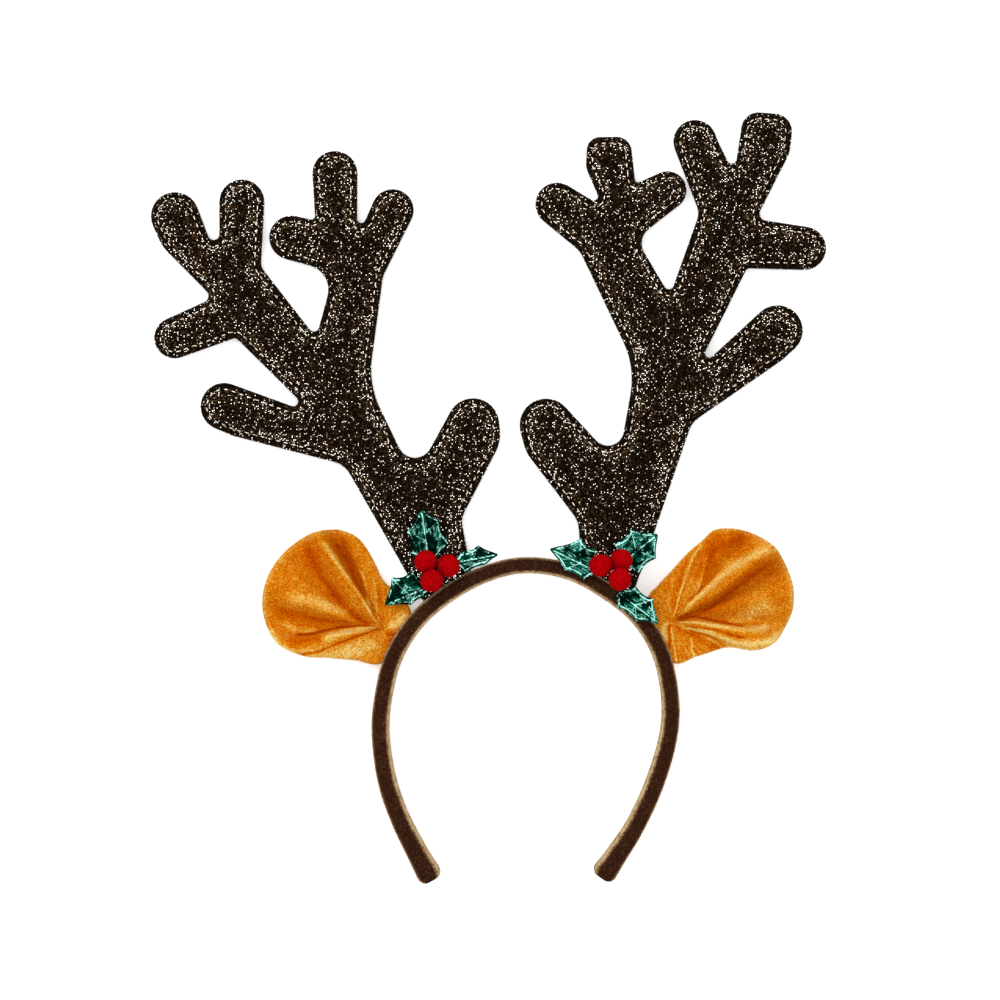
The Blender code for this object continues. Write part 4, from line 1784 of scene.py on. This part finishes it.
RIGHT_EAR = Ear(
    "right", (1.007, 0.175),
    (
        # turn, reach, rise, sweep
        (-87, 0.35, 0.36, 0),
        (-56, 0.355, 0.36, 0),
        (-28, 0.478, 0.34, 0),
        (-20, 0.70, 0.74, 6),
        (-12, 0.835, 0.88, 10),
        (-4, 0.922, 0.24, 8),
        (5, 0.982, 0.40, 5),
        (16, 1.013, 0.62, 0),
        (28, 1.033, 0.14, -8),
        (37, 1.01, 0.90, -6),
        (46, 0.97, 0.26, -4),
        (57, 0.888, 0.50, -4),
        (65, 0.805, 0.26, 0),
        (71, 0.655, 0.36, 2),
        (88, 0.42, 0.34, 0),
        (110, 0.31, 0.38, 0),
        (130, 0.28, 0.38, 0),
        (170, 0.22, 0.38, 0),
        (230, 0.22, 0.36, 0),
    ),
    (
        # kind, line as turns and shares of the reach, width, height, tone; tone is painted highlight on a
        # ridge and painted shade in a crease
        Fold(CREASE, ((16, 0.06), (13, 0.19), (19, 0.35), (25, 0.52), (29, 0.70), (30, 0.87)),
             3.0 * MM, 0.8 * MM, 0.9),
        Fold(RIDGE, ((42, 0.17), (42, 0.36), (42, 0.52), (41, 0.70), (39, 0.86), (37, 0.94)),
             2.0 * MM, 0.6 * MM, 0.85),
        Fold(CREASE, ((48, 0.22), (47, 0.36), (46, 0.50)), 0.8 * MM, 0.3 * MM, 0.9),
        Fold(CREASE, ((56, 0.46), (59, 0.66), (50, 0.84)), 3.6 * MM, 0.3 * MM, 1.0),
        Fold(RIDGE, ((71, 0.04), (73, 0.19), (73, 0.36), (72, 0.54), (68, 0.66)), 0.8 * MM, 0.2 * MM, 0.8),
        Fold(RIDGE, ((38, 0.13), (49, 0.30), (57, 0.44), (62, 0.58)), 0.8 * MM, 0.2 * MM, 0.7),
        Fold(CREASE, ((85, 0.10), (80, 0.30), (76, 0.50)), 1.6 * MM, 0.3 * MM, 0.5),
        Fold(CREASE, ((-12, 0.03), (10, 0.13), (1, 0.29), (-3, 0.45), (-4, 0.57)), 0.6 * MM, 0.5 * MM, 1.7),
        Fold(RIDGE, ((-16, 0.05), (-4, 0.16), (-6, 0.27), (-7, 0.48), (-6, 0.68), (-4, 0.76)),
             1.6 * MM, 0.5 * MM, 0.85),
        Fold(CREASE, ((-23, 0.12), (-13, 0.27), (-13, 0.44), (-14, 0.57)), 0.5 * MM, 0.3 * MM, 1.2),
        Fold(RIDGE, ((-28, 0.09), (-19, 0.28), (-19, 0.46), (-18, 0.60), (-13, 0.76), (-8, 0.84)),
             1.9 * MM, 0.4 * MM, 0.9),
        Fold(CREASE, ((-31, 0.17), (-24, 0.29), (-25, 0.41), (-26, 0.48)), 0.5 * MM, 0.3 * MM, 1.2),
        Fold(RIDGE, ((-26, 0.32), (-26, 0.44), (-23, 0.58), (-19, 0.71)), 1.1 * MM, 0.2 * MM, 0.7),
        Fold(CREASE, ((-53, 0.07), (-36, 0.20), (-34, 0.34), (-31, 0.44)), 1.6 * MM, 0.3 * MM, 0.7),
        Fold(RIDGE, ((-46, 0.22), (-56, 0.29), (-58, 0.36)), 0.9 * MM, 0.1 * MM, 0.8),
        Fold(RIDGE, ((-92, 0.08), (-87, 0.20), (-84, 0.33)), 0.9 * MM, 0.1 * MM, 0.7),
        Fold(CREASE, ((-117, 0.05), (-99, 0.14), (-97, 0.26)), 0.9 * MM, 0.1 * MM, 1.4),
        Fold(RIDGE, ((-150, 0.06), (-128, 0.11), (-112, 0.16)), 3.6 * MM, 0.1 * MM, 0.8),
        Fold(RIDGE, ((-5, 0.50), (4, 0.62), (8, 0.74)), 4.2 * MM, 0.1 * MM, 0.45),
    ),
)
LEFT_HOLLY = Holly(
    "left", (-0.622, 0.014), 0.0,
    (
        # across, up, turn, lift, long, left, right, on
        (-0.15, 0.17, 98, 1.5, 1.22, ((0.22, 0.77), (0.62, 0.85)), ((0.31, 1.11), (0.76, 0.75)), "padding"),
        (-0.23, -0.43, 202, 4.0, 1.00, ((0.10, 0.34), (0.44, 0.46)),
         ((0.14, 1.00), (0.62, 1.06)), "shoulder"),
        (0.51, 0.17, 11, 8.0, 0.94, ((0.12, 0.42), (0.58, 0.60)), ((0.14, 0.56), (0.68, 0.34)), "shoulder"),
    ),
    (
        # across, up, rise
        (-0.83, 0.76, 0.00),
        (1.17, 0.39, 0.00),
        (-0.27, -0.93, 0.95),
    ),
)
RIGHT_HOLLY = Holly(
    "right", (0.618, 0.005), 1.0,
    (
        # across, up, turn, lift, long, left, right, on
        (-0.50, -0.08, 154, 5.0, 1.13, ((0.12, 0.61), (0.55, 0.59)), ((0.15, 0.90), (0.53, 1.06)), "band"),
        (0.15, 0.10, 39, 3.0, 1.02, ((0.12, 0.93), (0.60, 0.95)), ((0.14, 0.90), (0.64, 0.82)), "padding"),
        (0.06, -0.59, -38, 4.0, 1.13, ((0.20, 0.72), (0.62, 0.75)), ((0.16, 0.58), (0.62, 0.53)), "band"),
    ),
    (
        # across, up, rise
        (-1.45, 0.17, 0.70),
        (0.385, 0.62, 0.00),
        (0.225, -1.025, 1.15),
    ),
)


def main() -> None:
    """Builds the headband and the studio."""
    logging.basicConfig(level=logging.INFO, format="%(message)s")
    band = Band()
    pieces = [band.build()]
    cutter = band.clearance()
    sewing = Stitching()
    for antler in (LEFT_ANTLER, RIGHT_ANTLER):
        pieces += [antler.build(cutter), antler.stitches(sewing)]
    for ear in (LEFT_EAR, RIGHT_EAR):
        pieces.append(ear.build(cutter))
    for holly, antler in ((LEFT_HOLLY, LEFT_ANTLER), (RIGHT_HOLLY, RIGHT_ANTLER)):
        pieces += holly.build(antler)
    bpy.data.objects.remove(cutter)
    for piece in pieces:
        log.info("%s: %d faces", piece.name, len(piece.data.polygons))
    Studio().build()


if __name__ == "__main__":
    main()
